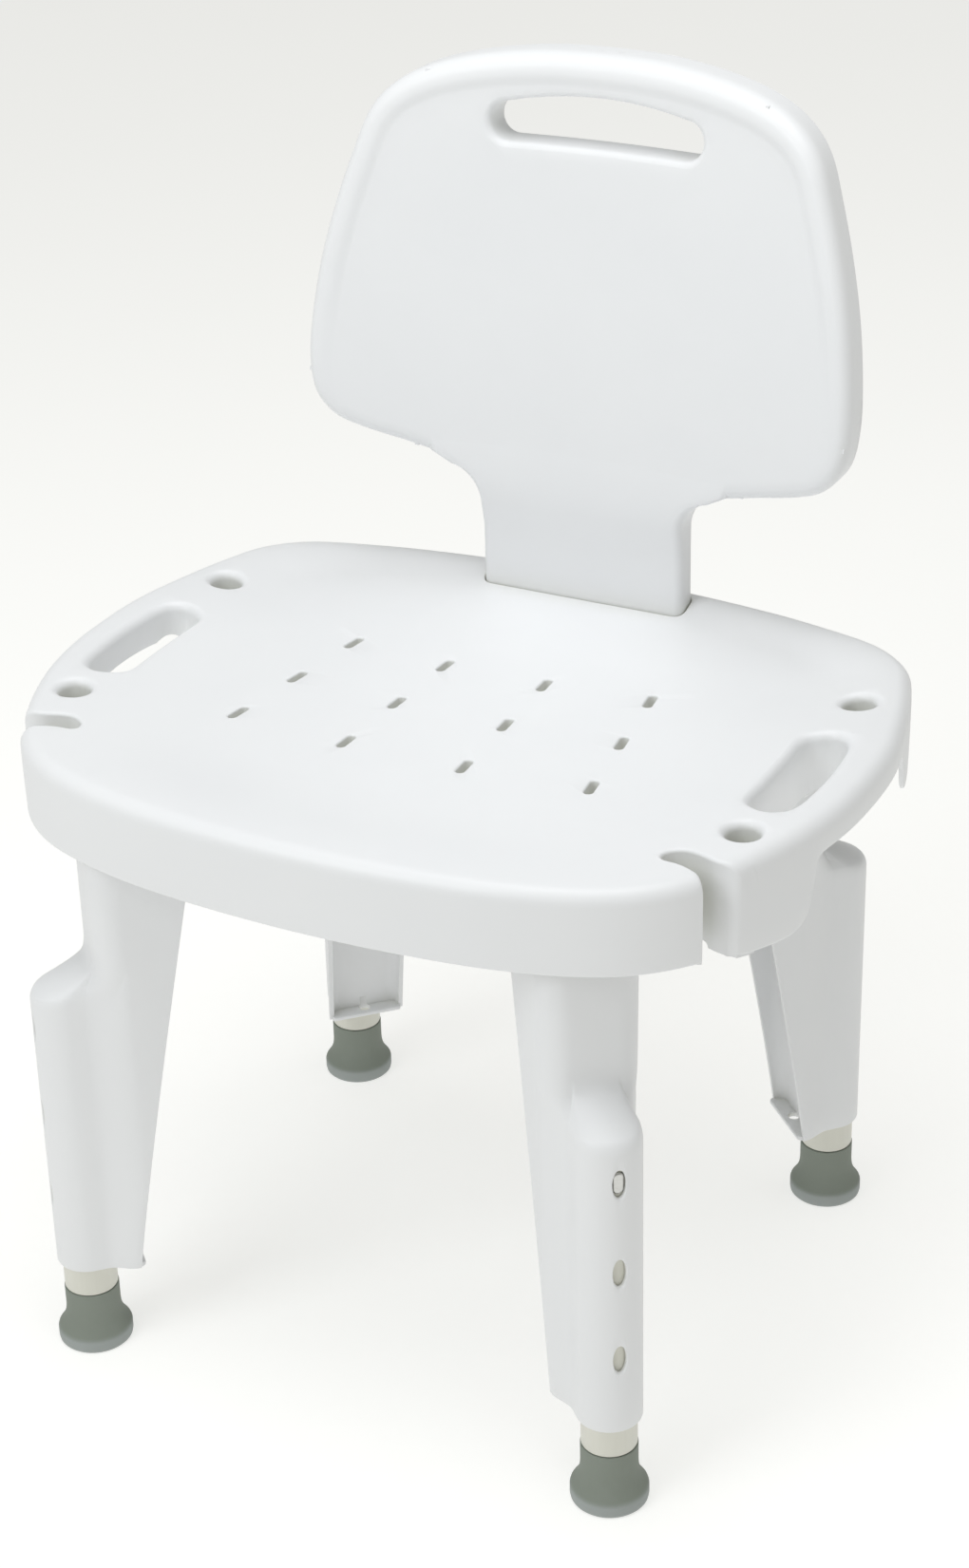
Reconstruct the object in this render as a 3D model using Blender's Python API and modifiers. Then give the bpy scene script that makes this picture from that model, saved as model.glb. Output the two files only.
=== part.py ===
"""Height-adjustable shower chair: moulded seat shell, push-in backrest and four telescopic legs.

Metres, +Z up, floor at z = 0. +Y is the back of the chair, and left and right are the sitter's.
The seat is laid out about the centre of its drain holes; the empty at the end moves the whole
chair so that its plan is centred on the origin.
"""
import math

import bmesh
import bpy
from mathutils import Matrix, Vector

# ---------------------------------------------------------------- seat shell
SEAT_HEIGHT = 0.400         # floor to the flat of the bowl, legs at their shortest
BOWL_DEPTH = 0.006          # flat of the bowl up to the rim
DECK_SKIN = 0.004           # plastic under the flat of the bowl
SKIRT_WALL = 0.0035
SKIRT_DEPTH = 0.054         # rim down to the front and rear skirt edge
LOBE_DROP = 0.0070          # how much lower the front corner lobes hang
RIM_RADIUS = 0.009
RIB_WALL = 0.0025
RIB_DEPTH = 0.016
SEAT_OUTLINE = (            # left half in plan, from the middle of the front to the middle of the rear
    (0.000, -0.193), (0.068, -0.190), (0.126, -0.182), (0.176, -0.166), (0.209, -0.142),
    (0.230, -0.110), (0.248, -0.067), (0.258, -0.026), (0.261, 0.016), (0.259, 0.060),
    (0.250, 0.102), (0.2395, 0.137), (0.2265, 0.165), (0.2005, 0.186), (0.160, 0.198),
    (0.118, 0.206), (0.062, 0.212), (0.000, 0.214),
)
BOWL_EDGE = 0.90            # bowl opening as a share of the seat outline
BOWL_FLAT = 0.66            # flat of the bowl as a share of the seat outline

DRAIN_ROWS = 3
DRAIN_COLUMNS = 4
DRAIN_ARC = 0.8215          # the rows lie on arcs about a point this far behind their centre
DRAIN_ROW_PITCH = 0.0576
DRAIN_COLUMN_PITCH = 0.0728
DRAIN_LENGTH = 0.0175
DRAIN_WIDTH = 0.006
DRAIN_WALL = 0.0014         # collar under each drain hole
DRAIN_DEPTH = 0.010

GRIP_INNER = 0.206          # side hand slot, its straight inner edge
GRIP_OUTER = 0.236          # and its bowed outer edge
GRIP_MIDDLE = 0.008
GRIP_LENGTH = 0.102
GRIP_WALL_DEPTH = 0.0205    # how far the wall of the hand slot reaches below the rim
GRIP_INNER_DEPTH = 0.0430   # and its inner side

SOCKET_X = 0.2185           # armrest sockets
SOCKET_MIDDLE = 0.0166
SOCKET_PITCH = 0.1766
SOCKET_BORE = 0.0214
SOCKET_WALL = 0.003
SOCKET_DEPTH = 0.050

ARCH_FRONT = -0.0525        # where the arch in the side skirt starts, front and rear
ARCH_REAR = 0.097
ARCH_RISE = 0.017           # plan length over which the arch climbs
ARCH_CROWN = 0.0205         # depth of skirt left above the arch
HOOK_WALL = 0.003
HOOK_OUTLINE = (            # hook slot for a hand shower, left front corner
    (0.187, -0.112), (0.191, -0.105), (0.201, -0.1028), (0.214, -0.1068), (0.2260, -0.1080),
    (0.2340, -0.1020), (0.252, -0.098), (0.258, -0.131), (0.238, -0.146), (0.2215, -0.134),
    (0.2160, -0.1255), (0.208, -0.1205), (0.196, -0.117),
)

# ---------------------------------------------------------------- backrest
NECK_HALF = 0.070
NECK_FRONT = 0.180          # front face of the neck, behind the drain holes' centre
NECK_THICK = 0.020
NECK_CORNER = 0.006
NECK_LENGTH = 0.075         # flat of the bowl up to where the upright neck turns into the leaning panel
TONGUE_LENGTH = 0.050       # neck below the flat of the bowl, in its receiver
TONGUE_GAP = 0.0004
RECEIVER_WALL = 0.003
PANEL_LEAN = 0.128          # backward run for each metre of rise
PANEL_WRAP = 0.028          # how far the sides come forward of the middle
PANEL_DEPTH = 0.026         # front crest to rear edge
PANEL_SKIN = 0.0036
PANEL_FIELD = 0.0025        # field set back from the raised rim
PANEL_RIBS = (-0.112, -0.056, 0.0, 0.056, 0.112)
PANEL_SHELVES = (0.136, 0.192, 0.248)
PANEL_SHAPE = (             # left half seen from the front, top to neck, heights above the flat of the bowl
    (0.000, 0.341), (0.040, 0.340), (0.080, 0.335), (0.112, 0.327), (0.135, 0.315),
    (0.150, 0.298), (0.160, 0.272), (0.170, 0.240), (0.178, 0.206), (0.183, 0.170),
    (0.184, 0.143), (0.180, 0.121), (0.168, 0.106), (0.150, 0.098), (0.122, 0.091),
    (0.090, 0.084), (0.045, 0.080), (0.000, 0.080),
)
SLOT_HALF = 0.071           # hand slot near the top of the panel
SLOT_RISE = 0.2855          # its floor above the flat of the bowl
SLOT_HEIGHT = 0.030
SLOT_ARCH = 0.006
SLOT_LIP = 0.0035

# ---------------------------------------------------------------- legs, tubes and feet
LEG_HALF_SPAN = 0.1796      # tube axes, left and right of the middle
LEG_FRONT_Y = -0.1654
LEG_REAR_Y = 0.1774
LEG_BOTTOM = 0.0605
LEG_WALL = 0.003
LEG_FACE = -0.018           # outer face of the channel, along the diagonal from the tube axis
LEG_CORNER = 0.016
LEG_TOP_DEPTH = 0.088       # tube axis to the open edge of the channel at the top
LEG_BOTTOM_DEPTH = 0.028
LEG_TOP_HALF = 0.031        # half the channel's width at the top
LEG_BOTTOM_HALF = 0.0265
LEG_SWEEP = 1.1             # how the depth grows with height, 1 for a straight taper
VALLEY_REACH = 0.036        # tube axis to where the valley beside the pocket runs out on the side wall
VALLEY_START = 0.008
WEB_THICK = 0.003
WEB_OVERHANG = 0.004
WEB_DRAIN = 0.008

TUBE_RADIUS = 0.0167
TUBE_WALL = 0.0025
TUBE_LENGTH = 0.2445
TUBE_BOTTOM = 0.0083
TUBE_GAP = 0.0003           # tube in its pocket
POCKET_WALL = 0.0028
DOME_START = 0.250          # where the pocket's straight front ends
DOME_RADIUS = 0.009
DOME_SLOPE = 26             # degrees by which the pocket's end falls away from the leg
DOME_FILLET = 0.014
SPIGOT_LENGTH = 0.032
SPIGOT_RADIUS = 0.0142
SPIGOT_WALL = 0.0024

HOLE_TOP = 0.2317           # the button's hole with the leg at its shortest
HOLE_PITCH = 0.060
HOLE_COUNT = 3
HOLE_HALF_WIDTH = 0.0039
HOLE_HALF_HEIGHT = 0.0092
RELIEF_DEPTH = 0.0016       # groove behind the holes, which the button's tip runs in

BUTTON_HALF_WIDTH = 0.0033
BUTTON_HALF_HEIGHT = 0.0070
BUTTON_GAP = 0.0003
BUTTON_PROUD = 0.0014       # tip beyond the tube
BUTTON_TRAVEL = 0.003
BUTTON_FLANGE = 0.0018
FLANGE_EDGE = 0.0016
SPRING_THICK = 0.0008
SPRING_WIDTH = 0.005
SPRING_LENGTH = 0.044

FOOT_HEIGHT = 0.0397
FOOT_FLANGE_RADIUS = 0.0234
FOOT_SLEEVE_RADIUS = 0.0172
FOOT_FLOOR = 0.006
FOOT_RIM = 0.009
WASHER_THICK = 0.0016
WASHER_BORE = 0.005

SCREW_RADIUS = 0.0019
SCREW_LENGTH = 0.012
SCREW_HEAD_RADIUS = 0.0042
SCREW_HEAD_THICK = 0.0024
SCREW_DROP = 0.020          # screw axis below the deck
PLUG_WALL = 0.003
PLUG_NOSE = 0.009           # thick end wall of the plug, which takes the screw
PLUG_DEPTH = 0.038
PLUG_REACH = 0.045

GAP = 0.0003                # play left between pieces that touch
ROUND = 28                  # sides of a turned piece

RIM_TOP = SEAT_HEIGHT + BOWL_DEPTH
DECK_UNDER = SEAT_HEIGHT - DECK_SKIN
SKIRT_BOTTOM = RIM_TOP - SKIRT_DEPTH
LOBE_BOTTOM = SKIRT_BOTTOM - LOBE_DROP
NECK_TOP = SEAT_HEIGHT + NECK_LENGTH
SLOT_FLOOR = SEAT_HEIGHT + SLOT_RISE
PANEL_OUTLINE = [(x, SEAT_HEIGHT + rise) for x, rise in PANEL_SHAPE]
EMBED = 0.0015              # how far a rib or boss runs into the skin it stands on
THROUGH = 0.020             # how far a cutter runs past what it cuts

# ---------------------------------------------------------------- scene and collections
for old in list(bpy.data.objects):
    bpy.data.objects.remove(old, do_unlink=True)

PARTS = bpy.data.collections.new("shower_chair")
CUTTERS = bpy.data.collections.new("shower_chair_cutters")
bpy.context.scene.collection.children.link(PARTS)
bpy.context.scene.collection.children.link(CUTTERS)


def material(name, colour, roughness, metallic=0.0):
    """A Principled BSDF with one colour."""
    made = bpy.data.materials.new(name)
    made.use_nodes = True
    shader = made.node_tree.nodes["Principled BSDF"]
    shader.inputs["Base Color"].default_value = (*colour, 1.0)
    shader.inputs["Roughness"].default_value = roughness
    shader.inputs["Metallic"].default_value = metallic
    made.diffuse_color = (*colour, 1.0)
    return made


WHITE_PLASTIC = material("white_polypropylene", (0.84, 0.85, 0.87), 0.42)
CREAM_TUBE = material("cream_tube_plastic", (0.80, 0.79, 0.73), 0.40)
GREY_RUBBER = material("grey_rubber", (0.25, 0.27, 0.23), 0.75)
STEEL = material("stainless_steel", (0.62, 0.62, 0.60), 0.28, 1.0)


# ---------------------------------------------------------------- outlines
def mirrored(half):
    """Whole loop from a left half that starts and ends on the middle line."""
    return list(half) + [(-x, y) for x, y in reversed(half[1:-1])]


def smooth_loop(points, steps=2):
    """Closed Catmull-Rom curve through the points."""
    loop = []
    count = len(points)
    for i in range(count):
        a, b, c, d = (Vector(points[(i + k) % count]) for k in (-1, 0, 1, 2))
        for step in range(steps):
            t = step / steps
            loop.append(0.5 * ((2 * b) + (c - a) * t + (2 * a - 5 * b + 4 * c - d) * t * t
                               + (3 * b - a - 3 * c + d) * t ** 3))
    return [tuple(p) for p in loop]


def signed_area(loop):
    return sum(a[0] * b[1] - b[0] * a[1] for a, b in zip(loop, loop[1:] + loop[:1])) / 2


def inset(loop, distance):
    """Loop moved inwards by a distance, or outwards when it is negative."""
    turn = 1.0 if signed_area(loop) > 0 else -1.0
    moved = []
    for before, point, after in zip(loop[-1:] + loop[:-1], loop, loop[1:] + loop[:1]):
        first = (Vector(point) - Vector(before)).normalized()
        second = (Vector(after) - Vector(point)).normalized()
        along = (first + second).normalized()
        inward = Vector((-along.y, along.x)) * turn
        share = max(0.5, along.dot(second))
        moved.append(tuple(Vector(point) + inward * distance / share))
    return moved


def scaled(loop, factor, centre=(0.0, 0.0)):
    return [(centre[0] + (x - centre[0]) * factor, centre[1] + (y - centre[1]) * factor) for x, y in loop]


def arc(centre, radius, start, end, steps):
    """Points along an arc, angles in degrees, both ends included."""
    angles = [math.radians(start + (end - start) * i / steps) for i in range(steps + 1)]
    return [(centre[0] + radius * math.cos(a), centre[1] + radius * math.sin(a)) for a in angles]


def rounded_box(low, high, radius, steps=3):
    """Rectangle with round corners."""
    loop = []
    corners = ((high[0], high[1], 0), (low[0], high[1], 90), (low[0], low[1], 180), (high[0], low[1], 270))
    for x, y, start in corners:
        centre = (x - math.copysign(radius, x - (low[0] + high[0]) / 2),
                  y - math.copysign(radius, y - (low[1] + high[1]) / 2))
        loop += arc(centre, radius, start, start + 90, steps)
    return loop


def stadium(half_length, half_width, steps=5):
    """Slot outline with round ends, long along X."""
    reach = half_length - half_width
    return arc((reach, 0), half_width, -90, 90, steps) + arc((-reach, 0), half_width, 90, 270, steps)


# ---------------------------------------------------------------- solids
def is_flat(face):
    """Whether all of a face's corners lie in its plane."""
    centre = face.calc_center_median()
    return all(abs((vert.co - centre).dot(face.normal)) < 0.0000005 for vert in face.verts)


def from_bmesh(name, bm):
    """A new object from a closed bmesh, faces outwards and every face flat."""
    bent_faces = [face for face in bm.faces if len(face.verts) > 3 and not is_flat(face)]
    bmesh.ops.triangulate(bm, faces=bent_faces)
    bmesh.ops.recalc_face_normals(bm, faces=bm.faces)
    mesh = bpy.data.meshes.new(name)
    bm.to_mesh(mesh)
    bm.free()
    made = bpy.data.objects.new(name, mesh)
    CUTTERS.objects.link(made)
    made.hide_render = True
    made.display_type = "WIRE"
    return made


def settle(made):
    """Replace an object's mesh by its evaluated one, and drop its modifiers."""
    bpy.context.view_layer.update()
    evaluated = made.evaluated_get(bpy.context.evaluated_depsgraph_get())
    mesh = bpy.data.meshes.new_from_object(evaluated)
    made.modifiers.clear()
    made.data = mesh
    return made


def plate(name, loops, low, high, place=Matrix.Identity(4)):
    """Flat outline, with holes where loops lie inside it, extruded along Z and then placed."""
    curve = bpy.data.curves.new(name, "CURVE")
    curve.dimensions = "2D"
    curve.fill_mode = "BOTH"
    curve.extrude = (high - low) / 2
    for loop in loops:
        spline = curve.splines.new("POLY")
        spline.points.add(len(loop) - 1)
        for point, (x, y) in zip(spline.points, loop):
            point.co = (x, y, 0.0, 1.0)
        spline.use_cyclic_u = True
    flat = bpy.data.objects.new(name, curve)
    CUTTERS.objects.link(flat)
    flat.matrix_world = place @ Matrix.Translation((0, 0, (low + high) / 2))
    bpy.context.view_layer.update()
    mesh = bpy.data.meshes.new_from_object(flat.evaluated_get(bpy.context.evaluated_depsgraph_get()))
    bm = bmesh.new()
    bm.from_mesh(mesh)
    bmesh.ops.remove_doubles(bm, verts=bm.verts, dist=0.000001)
    bm.transform(flat.matrix_world)
    bpy.data.objects.remove(flat, do_unlink=True)
    return from_bmesh(name, bm)


def loft(name, rings):
    """Closed solid through rings of equally many points, the first and last ones filled."""
    bm = bmesh.new()
    rows = [[bm.verts.new(point) for point in ring] for ring in rings]
    for upper, lower in zip(rows, rows[1:]):
        for i in range(len(upper)):
            j = (i + 1) % len(upper)
            bm.faces.new((upper[i], upper[j], lower[j], lower[i]))
    for row in (rows[0], rows[-1]):
        bm.faces.new(row)
    bm.normal_update()
    return from_bmesh(name, bm)


def turned(name, profile, place=Matrix.Identity(4), sides=ROUND):
    """Solid of revolution about Z; the profile runs down its outer side first."""
    bm = bmesh.new()
    verts = [bm.verts.new((radius, 0.0, z)) for radius, z in profile]
    closed = profile[0][0] > 0 or profile[-1][0] > 0
    pairs = list(zip(verts, verts[1:])) + ([(verts[-1], verts[0])] if closed else [])
    for a, b in pairs:
        bm.edges.new((a, b))
    mesh = bpy.data.meshes.new(name)
    bm.to_mesh(mesh)
    bm.free()
    made = bpy.data.objects.new(name, mesh)
    CUTTERS.objects.link(made)
    made.hide_render = True
    made.display_type = "WIRE"
    screw = made.modifiers.new("turn", "SCREW")
    screw.steps = sides
    screw.render_steps = sides
    screw.use_merge_vertices = True
    screw.merge_threshold = 0.00001
    screw.use_normal_calculate = True
    settle(made)
    bm = bmesh.new()
    bm.from_mesh(made.data)
    bmesh.ops.recalc_face_normals(bm, faces=bm.faces)
    bm.transform(place)
    bm.to_mesh(made.data)
    bm.free()
    return made


def round_edges(made, width, segments, picked):
    """Bevel the edges that the test picks."""
    bm = bmesh.new()
    bm.from_mesh(made.data)
    edges = [edge for edge in bm.edges if picked(edge)]
    bmesh.ops.bevel(bm, geom=edges, offset=width, segments=segments, profile=0.5,
                    affect="EDGES", clamp_overlap=True)
    bm.to_mesh(made.data)
    bm.free()
    return made


def combine(made, others, operation):
    """Cut the others from a solid, or join them to it, with one exact Boolean."""
    group = bpy.data.collections.new(made.name + "_" + operation.lower())
    CUTTERS.children.link(group)
    for other in others:
        group.objects.link(other)
    step = made.modifiers.new(operation.lower(), "BOOLEAN")
    step.operation = operation
    step.operand_type = "COLLECTION"
    step.collection = group
    step.solver = "EXACT"
    settle(made)
    bm = bmesh.new()
    bm.from_mesh(made.data)
    bmesh.ops.remove_doubles(bm, verts=bm.verts, dist=0.0000005)
    bm.to_mesh(made.data)
    bm.free()
    for other in others:
        bpy.data.objects.remove(other, do_unlink=True)
    bpy.data.collections.remove(group)
    return made


def cut(made, others):
    return combine(made, others, "DIFFERENCE")


def join(made, others):
    return combine(made, others, "UNION")


def show(made, name, finish, parent):
    """Turn a finished solid into a named part of the chair."""
    made.name = name
    made.data.name = name
    made.hide_render = False
    made.display_type = "TEXTURED"
    made.data.materials.clear()
    made.data.materials.append(finish)
    made.data.shade_smooth()
    made.data.set_sharp_from_angle(angle=math.radians(35))
    CUTTERS.objects.unlink(made)
    PARTS.objects.link(made)
    made.parent = parent
    return made


# ---------------------------------------------------------------- corner frames
# Each leg has its own frame on its tube's axis at the floor: X points out along the diagonal.
CORNERS = {}
for corner, side, end_y in (("front_left", 1, LEG_FRONT_Y), ("front_right", -1, LEG_FRONT_Y),
                            ("rear_left", 1, LEG_REAR_Y), ("rear_right", -1, LEG_REAR_Y)):
    heading = math.atan2(math.copysign(1, end_y), side)
    CORNERS[corner] = (Matrix.Translation((side * LEG_HALF_SPAN, end_y, 0))
                       @ Matrix.Rotation(heading, 4, "Z"))


# ---------------------------------------------------------------- seat shell pieces
def grip_outline(side, margin):
    """Side hand slot: straight inner edge, bowed outer edge, round ends."""
    half = GRIP_LENGTH / 2 + margin
    inner = GRIP_INNER - margin
    outer = GRIP_OUTER + margin
    width = outer - inner
    points = [(inner, -half + width * 0.35), (inner, 0.0), (inner, half - width * 0.35),
              (inner + width * 0.30, half - width * 0.06), (inner + width * 0.62, half),
              (outer - width * 0.10, half - width * 0.32), (outer, half * 0.30),
              (outer, -half * 0.30), (outer - width * 0.10, -half + width * 0.32),
              (inner + width * 0.62, -half), (inner + width * 0.30, -half + width * 0.06)]
    return smooth_loop([(side * x, GRIP_MIDDLE + y) for x, y in points])


def hook_outline(side, margin):
    """Comma-shaped hook slot, its mouth past the skirt."""
    return inset(smooth_loop([(side * x, y) for x, y in HOOK_OUTLINE]), -margin)


def drain_places():
    """Plan position and heading of each drain hole, fanned about a point behind the seat."""
    for row in range(DRAIN_ROWS):
        radius = DRAIN_ARC + (row - (DRAIN_ROWS - 1) / 2) * DRAIN_ROW_PITCH
        for column in range(DRAIN_COLUMNS):
            angle = (column - (DRAIN_COLUMNS - 1) / 2) * DRAIN_COLUMN_PITCH / DRAIN_ARC
            yield Matrix.Translation((radius * math.sin(angle), DRAIN_ARC - radius * math.cos(angle), 0)) \
                @ Matrix.Rotation(angle - math.pi / 2, 4, "Z")


def neck_outline(margin):
    low = (-NECK_HALF - margin, NECK_FRONT - margin)
    high = (NECK_HALF + margin, NECK_FRONT + NECK_THICK + margin)
    return rounded_box(low, high, NECK_CORNER + margin)


def plug_loops():
    """Plug that fills a leg's channel, in the leg's frame: outer loop and hollow."""
    half = LEG_TOP_HALF - LEG_WALL - GAP - (LEG_TOP_HALF - LEG_BOTTOM_HALF) * 0.18
    nose = LEG_FACE - LEG_WALL - GAP
    outer = rounded_box((nose - PLUG_REACH, -half), (nose, half), LEG_CORNER - LEG_WALL)
    hollow = rounded_box((nose - PLUG_REACH + PLUG_WALL, -half + PLUG_WALL),
                         (nose - PLUG_NOSE, half - PLUG_WALL), LEG_CORNER - LEG_WALL - PLUG_WALL)
    return outer, hollow


def screw_hole(radius):
    """Cylinder on a leg screw's axis, in the leg's frame."""
    place = Matrix.Translation((LEG_FACE, 0, DECK_UNDER - SCREW_DROP)) @ Matrix.Rotation(math.pi / 2, 4, "Y")
    reach = 0.020
    return turned("screw_hole", [(0, reach), (radius, reach), (radius, -reach), (0, -reach)], place, 12)


def side_arch():
    """Cutter along X for the arch in both side skirts."""
    crown = RIM_TOP - ARCH_CROWN
    low = LOBE_BOTTOM - THROUGH
    profile = [(ARCH_FRONT - 0.004, low), (ARCH_FRONT - 0.004, LOBE_BOTTOM + 0.002),
               (ARCH_FRONT, LOBE_BOTTOM + 0.010), (ARCH_FRONT + ARCH_RISE * 0.15, crown - 0.010),
               (ARCH_FRONT + ARCH_RISE * 0.45, crown - 0.002), (ARCH_FRONT + ARCH_RISE, crown),
               (ARCH_REAR - 0.020, crown), (ARCH_REAR - 0.009, crown - 0.004),
               (ARCH_REAR - 0.003, SKIRT_BOTTOM + 0.010), (ARCH_REAR + 0.004, SKIRT_BOTTOM - 0.0005),
               (ARCH_REAR + 0.004, low)]
    across = Matrix.Rotation(math.pi / 2, 4, "Z") @ Matrix.Rotation(math.pi / 2, 4, "X")
    return plate("side_arch", [profile], -0.30, 0.30, across)


def block(name, low, high):
    """Plain rectangular solid between two corners."""
    bm = bmesh.new()
    bmesh.ops.create_cube(bm, size=1.0)
    size = Vector(high) - Vector(low)
    bmesh.ops.scale(bm, vec=size, verts=bm.verts)
    bmesh.ops.translate(bm, vec=Vector(low) + size / 2, verts=bm.verts)
    return from_bmesh(name, bm)


def build_seat():
    """Deck with its bowl, skirt, sockets, grips, hooks, ribs, leg plugs and backrest receiver."""
    outline = smooth_loop(mirrored(SEAT_OUTLINE))
    seat = plate("seat", [outline], LOBE_BOTTOM, RIM_TOP)
    round_edges(seat, RIM_RADIUS, 3, lambda edge: all(abs(v.co.z - RIM_TOP) < 0.0001 for v in edge.verts)
                and any(abs(face.normal.z) < 0.5 for face in edge.link_faces))
    middle = (0.0, (SEAT_OUTLINE[0][1] + SEAT_OUTLINE[-1][1]) / 2)
    bowl = [[(x, y, z) for x, y in scaled(outline, share, middle)] for share, z in
            ((BOWL_FLAT, SEAT_HEIGHT), (BOWL_FLAT * 0.4 + BOWL_EDGE * 0.6, SEAT_HEIGHT + BOWL_DEPTH * 0.45),
             (BOWL_EDGE, RIM_TOP + 0.0002), (BOWL_EDGE, RIM_TOP + THROUGH))]
    cavity = plate("cavity", [inset(outline, SKIRT_WALL)], LOBE_BOTTOM - THROUGH, DECK_UNDER)
    front_trim = block("front_trim", (-0.219, -0.25, LOBE_BOTTOM - THROUGH), (0.219, -0.08, SKIRT_BOTTOM))
    rear_trim = block("rear_trim", (-0.30, ARCH_REAR - 0.01, LOBE_BOTTOM - THROUGH), (0.30, 0.25, SKIRT_BOTTOM))
    cut(seat, [loft("bowl", bowl), cavity, front_trim, rear_trim, side_arch()])

    standing = DECK_UNDER + EMBED
    added = []
    holes = []
    for side in (-1, 1):
        added.append(plate("grip_wall", [grip_outline(side, SOCKET_WALL)], RIM_TOP - GRIP_WALL_DEPTH, standing))
        inner = sorted((side * (GRIP_INNER - SOCKET_WALL), side * (GRIP_INNER + 0.0005)))
        straight = GRIP_LENGTH / 2 - (GRIP_OUTER - GRIP_INNER) * 0.4
        added.append(block("grip_inner", (inner[0], GRIP_MIDDLE - straight, RIM_TOP - GRIP_INNER_DEPTH),
                           (inner[1], GRIP_MIDDLE + straight, standing)))
        holes.append(plate("grip_slot", [grip_outline(side, 0.0)], LOBE_BOTTOM - THROUGH, RIM_TOP + THROUGH))
        wall = plate("hook_wall", [hook_outline(side, HOOK_WALL)], SKIRT_BOTTOM, standing)
        keep_in = plate("keep_in", [inset(outline, SKIRT_WALL / 2)], LOBE_BOTTOM - THROUGH, RIM_TOP)
        combine(wall, [keep_in], "INTERSECT")
        added.append(wall)
        holes.append(plate("hook_slot", [hook_outline(side, 0.0)], LOBE_BOTTOM - THROUGH, RIM_TOP + THROUGH))
        for end in (-1, 1):
            place = Matrix.Translation((side * SOCKET_X, SOCKET_MIDDLE + end * SOCKET_PITCH / 2, 0))
            boss = SOCKET_BORE / 2 + SOCKET_WALL
            bottom = RIM_TOP - SOCKET_DEPTH
            added.append(turned("socket", [(0, standing), (boss, standing), (boss, bottom), (0, bottom)], place))
            bore = SOCKET_BORE / 2
            high = RIM_TOP + THROUGH
            low = LOBE_BOTTOM - THROUGH
            holes.append(turned("bore", [(0, high), (bore, high), (bore, low), (0, low)], place))
    plug, hollow = plug_loops()
    for place in CORNERS.values():
        added.append(plate("leg_plug", [plug, hollow], DECK_UNDER - PLUG_DEPTH, standing, place))
        hole = screw_hole(SCREW_RADIUS + GAP)
        hole.data.transform(place)
        holes.append(hole)
    tongue_low = SEAT_HEIGHT - TONGUE_LENGTH
    receiver = [neck_outline(TONGUE_GAP + RECEIVER_WALL)]
    added.append(plate("receiver", receiver, tongue_low, standing))
    holes.append(plate("neck_slot", [neck_outline(TONGUE_GAP)], tongue_low - THROUGH, RIM_TOP + THROUGH))
    rib_low = DECK_UNDER - RIB_DEPTH
    for x in (-DRAIN_COLUMN_PITCH, 0.0, DRAIN_COLUMN_PITCH):
        added.append(block("rib", (x - RIB_WALL / 2, -0.125, rib_low), (x + RIB_WALL / 2, 0.125, standing)))
    for y in (-DRAIN_ROW_PITCH / 2, DRAIN_ROW_PITCH / 2):
        added.append(block("rib", (-0.150, y - RIB_WALL / 2, rib_low), (0.150, y + RIB_WALL / 2, standing)))
    for place in drain_places():
        collar = stadium(DRAIN_LENGTH / 2 + DRAIN_WALL, DRAIN_WIDTH / 2 + DRAIN_WALL, 3)
        added.append(plate("drain_collar", [collar], DECK_UNDER - DRAIN_DEPTH, standing, place))
        opening = stadium(DRAIN_LENGTH / 2, DRAIN_WIDTH / 2, 3)
        holes.append(plate("drain", [opening], DECK_UNDER - DRAIN_DEPTH - THROUGH, RIM_TOP, place))
    join(seat, added)
    cut(seat, holes)
    return seat


# ---------------------------------------------------------------- backrest
def panel_front(x, z):
    """How far back the crest of the panel's rim lies at a point seen from the front."""
    half = max(point[0] for point in PANEL_OUTLINE)
    return NECK_FRONT - 0.001 + PANEL_LEAN * (z - NECK_TOP) - PANEL_WRAP * (x / half) ** 2


def slot_outline(margin):
    """Panel hand slot: flat floor, arched top and round ends."""
    half = SLOT_HALF + margin
    floor = SLOT_FLOOR - margin
    top = SLOT_FLOOR + SLOT_HEIGHT - SLOT_ARCH + margin
    middle = (floor + top) / 2
    radius = (top - floor) / 2
    reach = half - radius
    loop = arc((reach, middle), radius, -90, 80, 4)
    loop += [(reach * share, top + SLOT_ARCH * (1 - share * share)) for share in (0.66, 0.33, 0, -0.33, -0.66)]
    loop += arc((-reach, middle), radius, 100, 270, 4)
    loop += [(reach * share, floor) for share in (-0.66, -0.33, 0, 0.33, 0.66)]
    return loop


def bent(name, rings):
    """Loft whose rings are given as points (x, depth behind the crest, z)."""
    return loft(name, [[(x, panel_front(x, z) + depth, z) for x, depth, z in ring] for ring in rings])


def ring_at(loop, depth):
    return [(x, depth, z) for x, z in loop]


def panel_edge(x, upper):
    """Height of the panel's edge above or below a plan position."""
    heights = []
    loop = smooth_loop(mirrored(PANEL_OUTLINE))
    for a, b in zip(loop, loop[1:] + loop[:1]):
        if (a[0] - x) * (b[0] - x) <= 0 and abs(a[0] - b[0]) > 0:
            heights.append(a[1] + (b[1] - a[1]) * (x - a[0]) / (b[0] - a[0]))
    return max(heights) if upper else min(heights)


def panel_rib(start, end, across, low, high, steps=4):
    """Thin rib on the back of the panel, bent with it; across is its thickness direction."""
    rings = []
    for i in range(steps + 1):
        middle = Vector(start).lerp(Vector(end), i / steps)
        a = middle - Vector(across) * RIB_WALL / 2
        b = middle + Vector(across) * RIB_WALL / 2
        rings.append([(a.x, low, a.y), (b.x, low, b.y), (b.x, high, b.y), (a.x, high, a.y)])
    return bent("panel_rib", rings)


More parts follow.
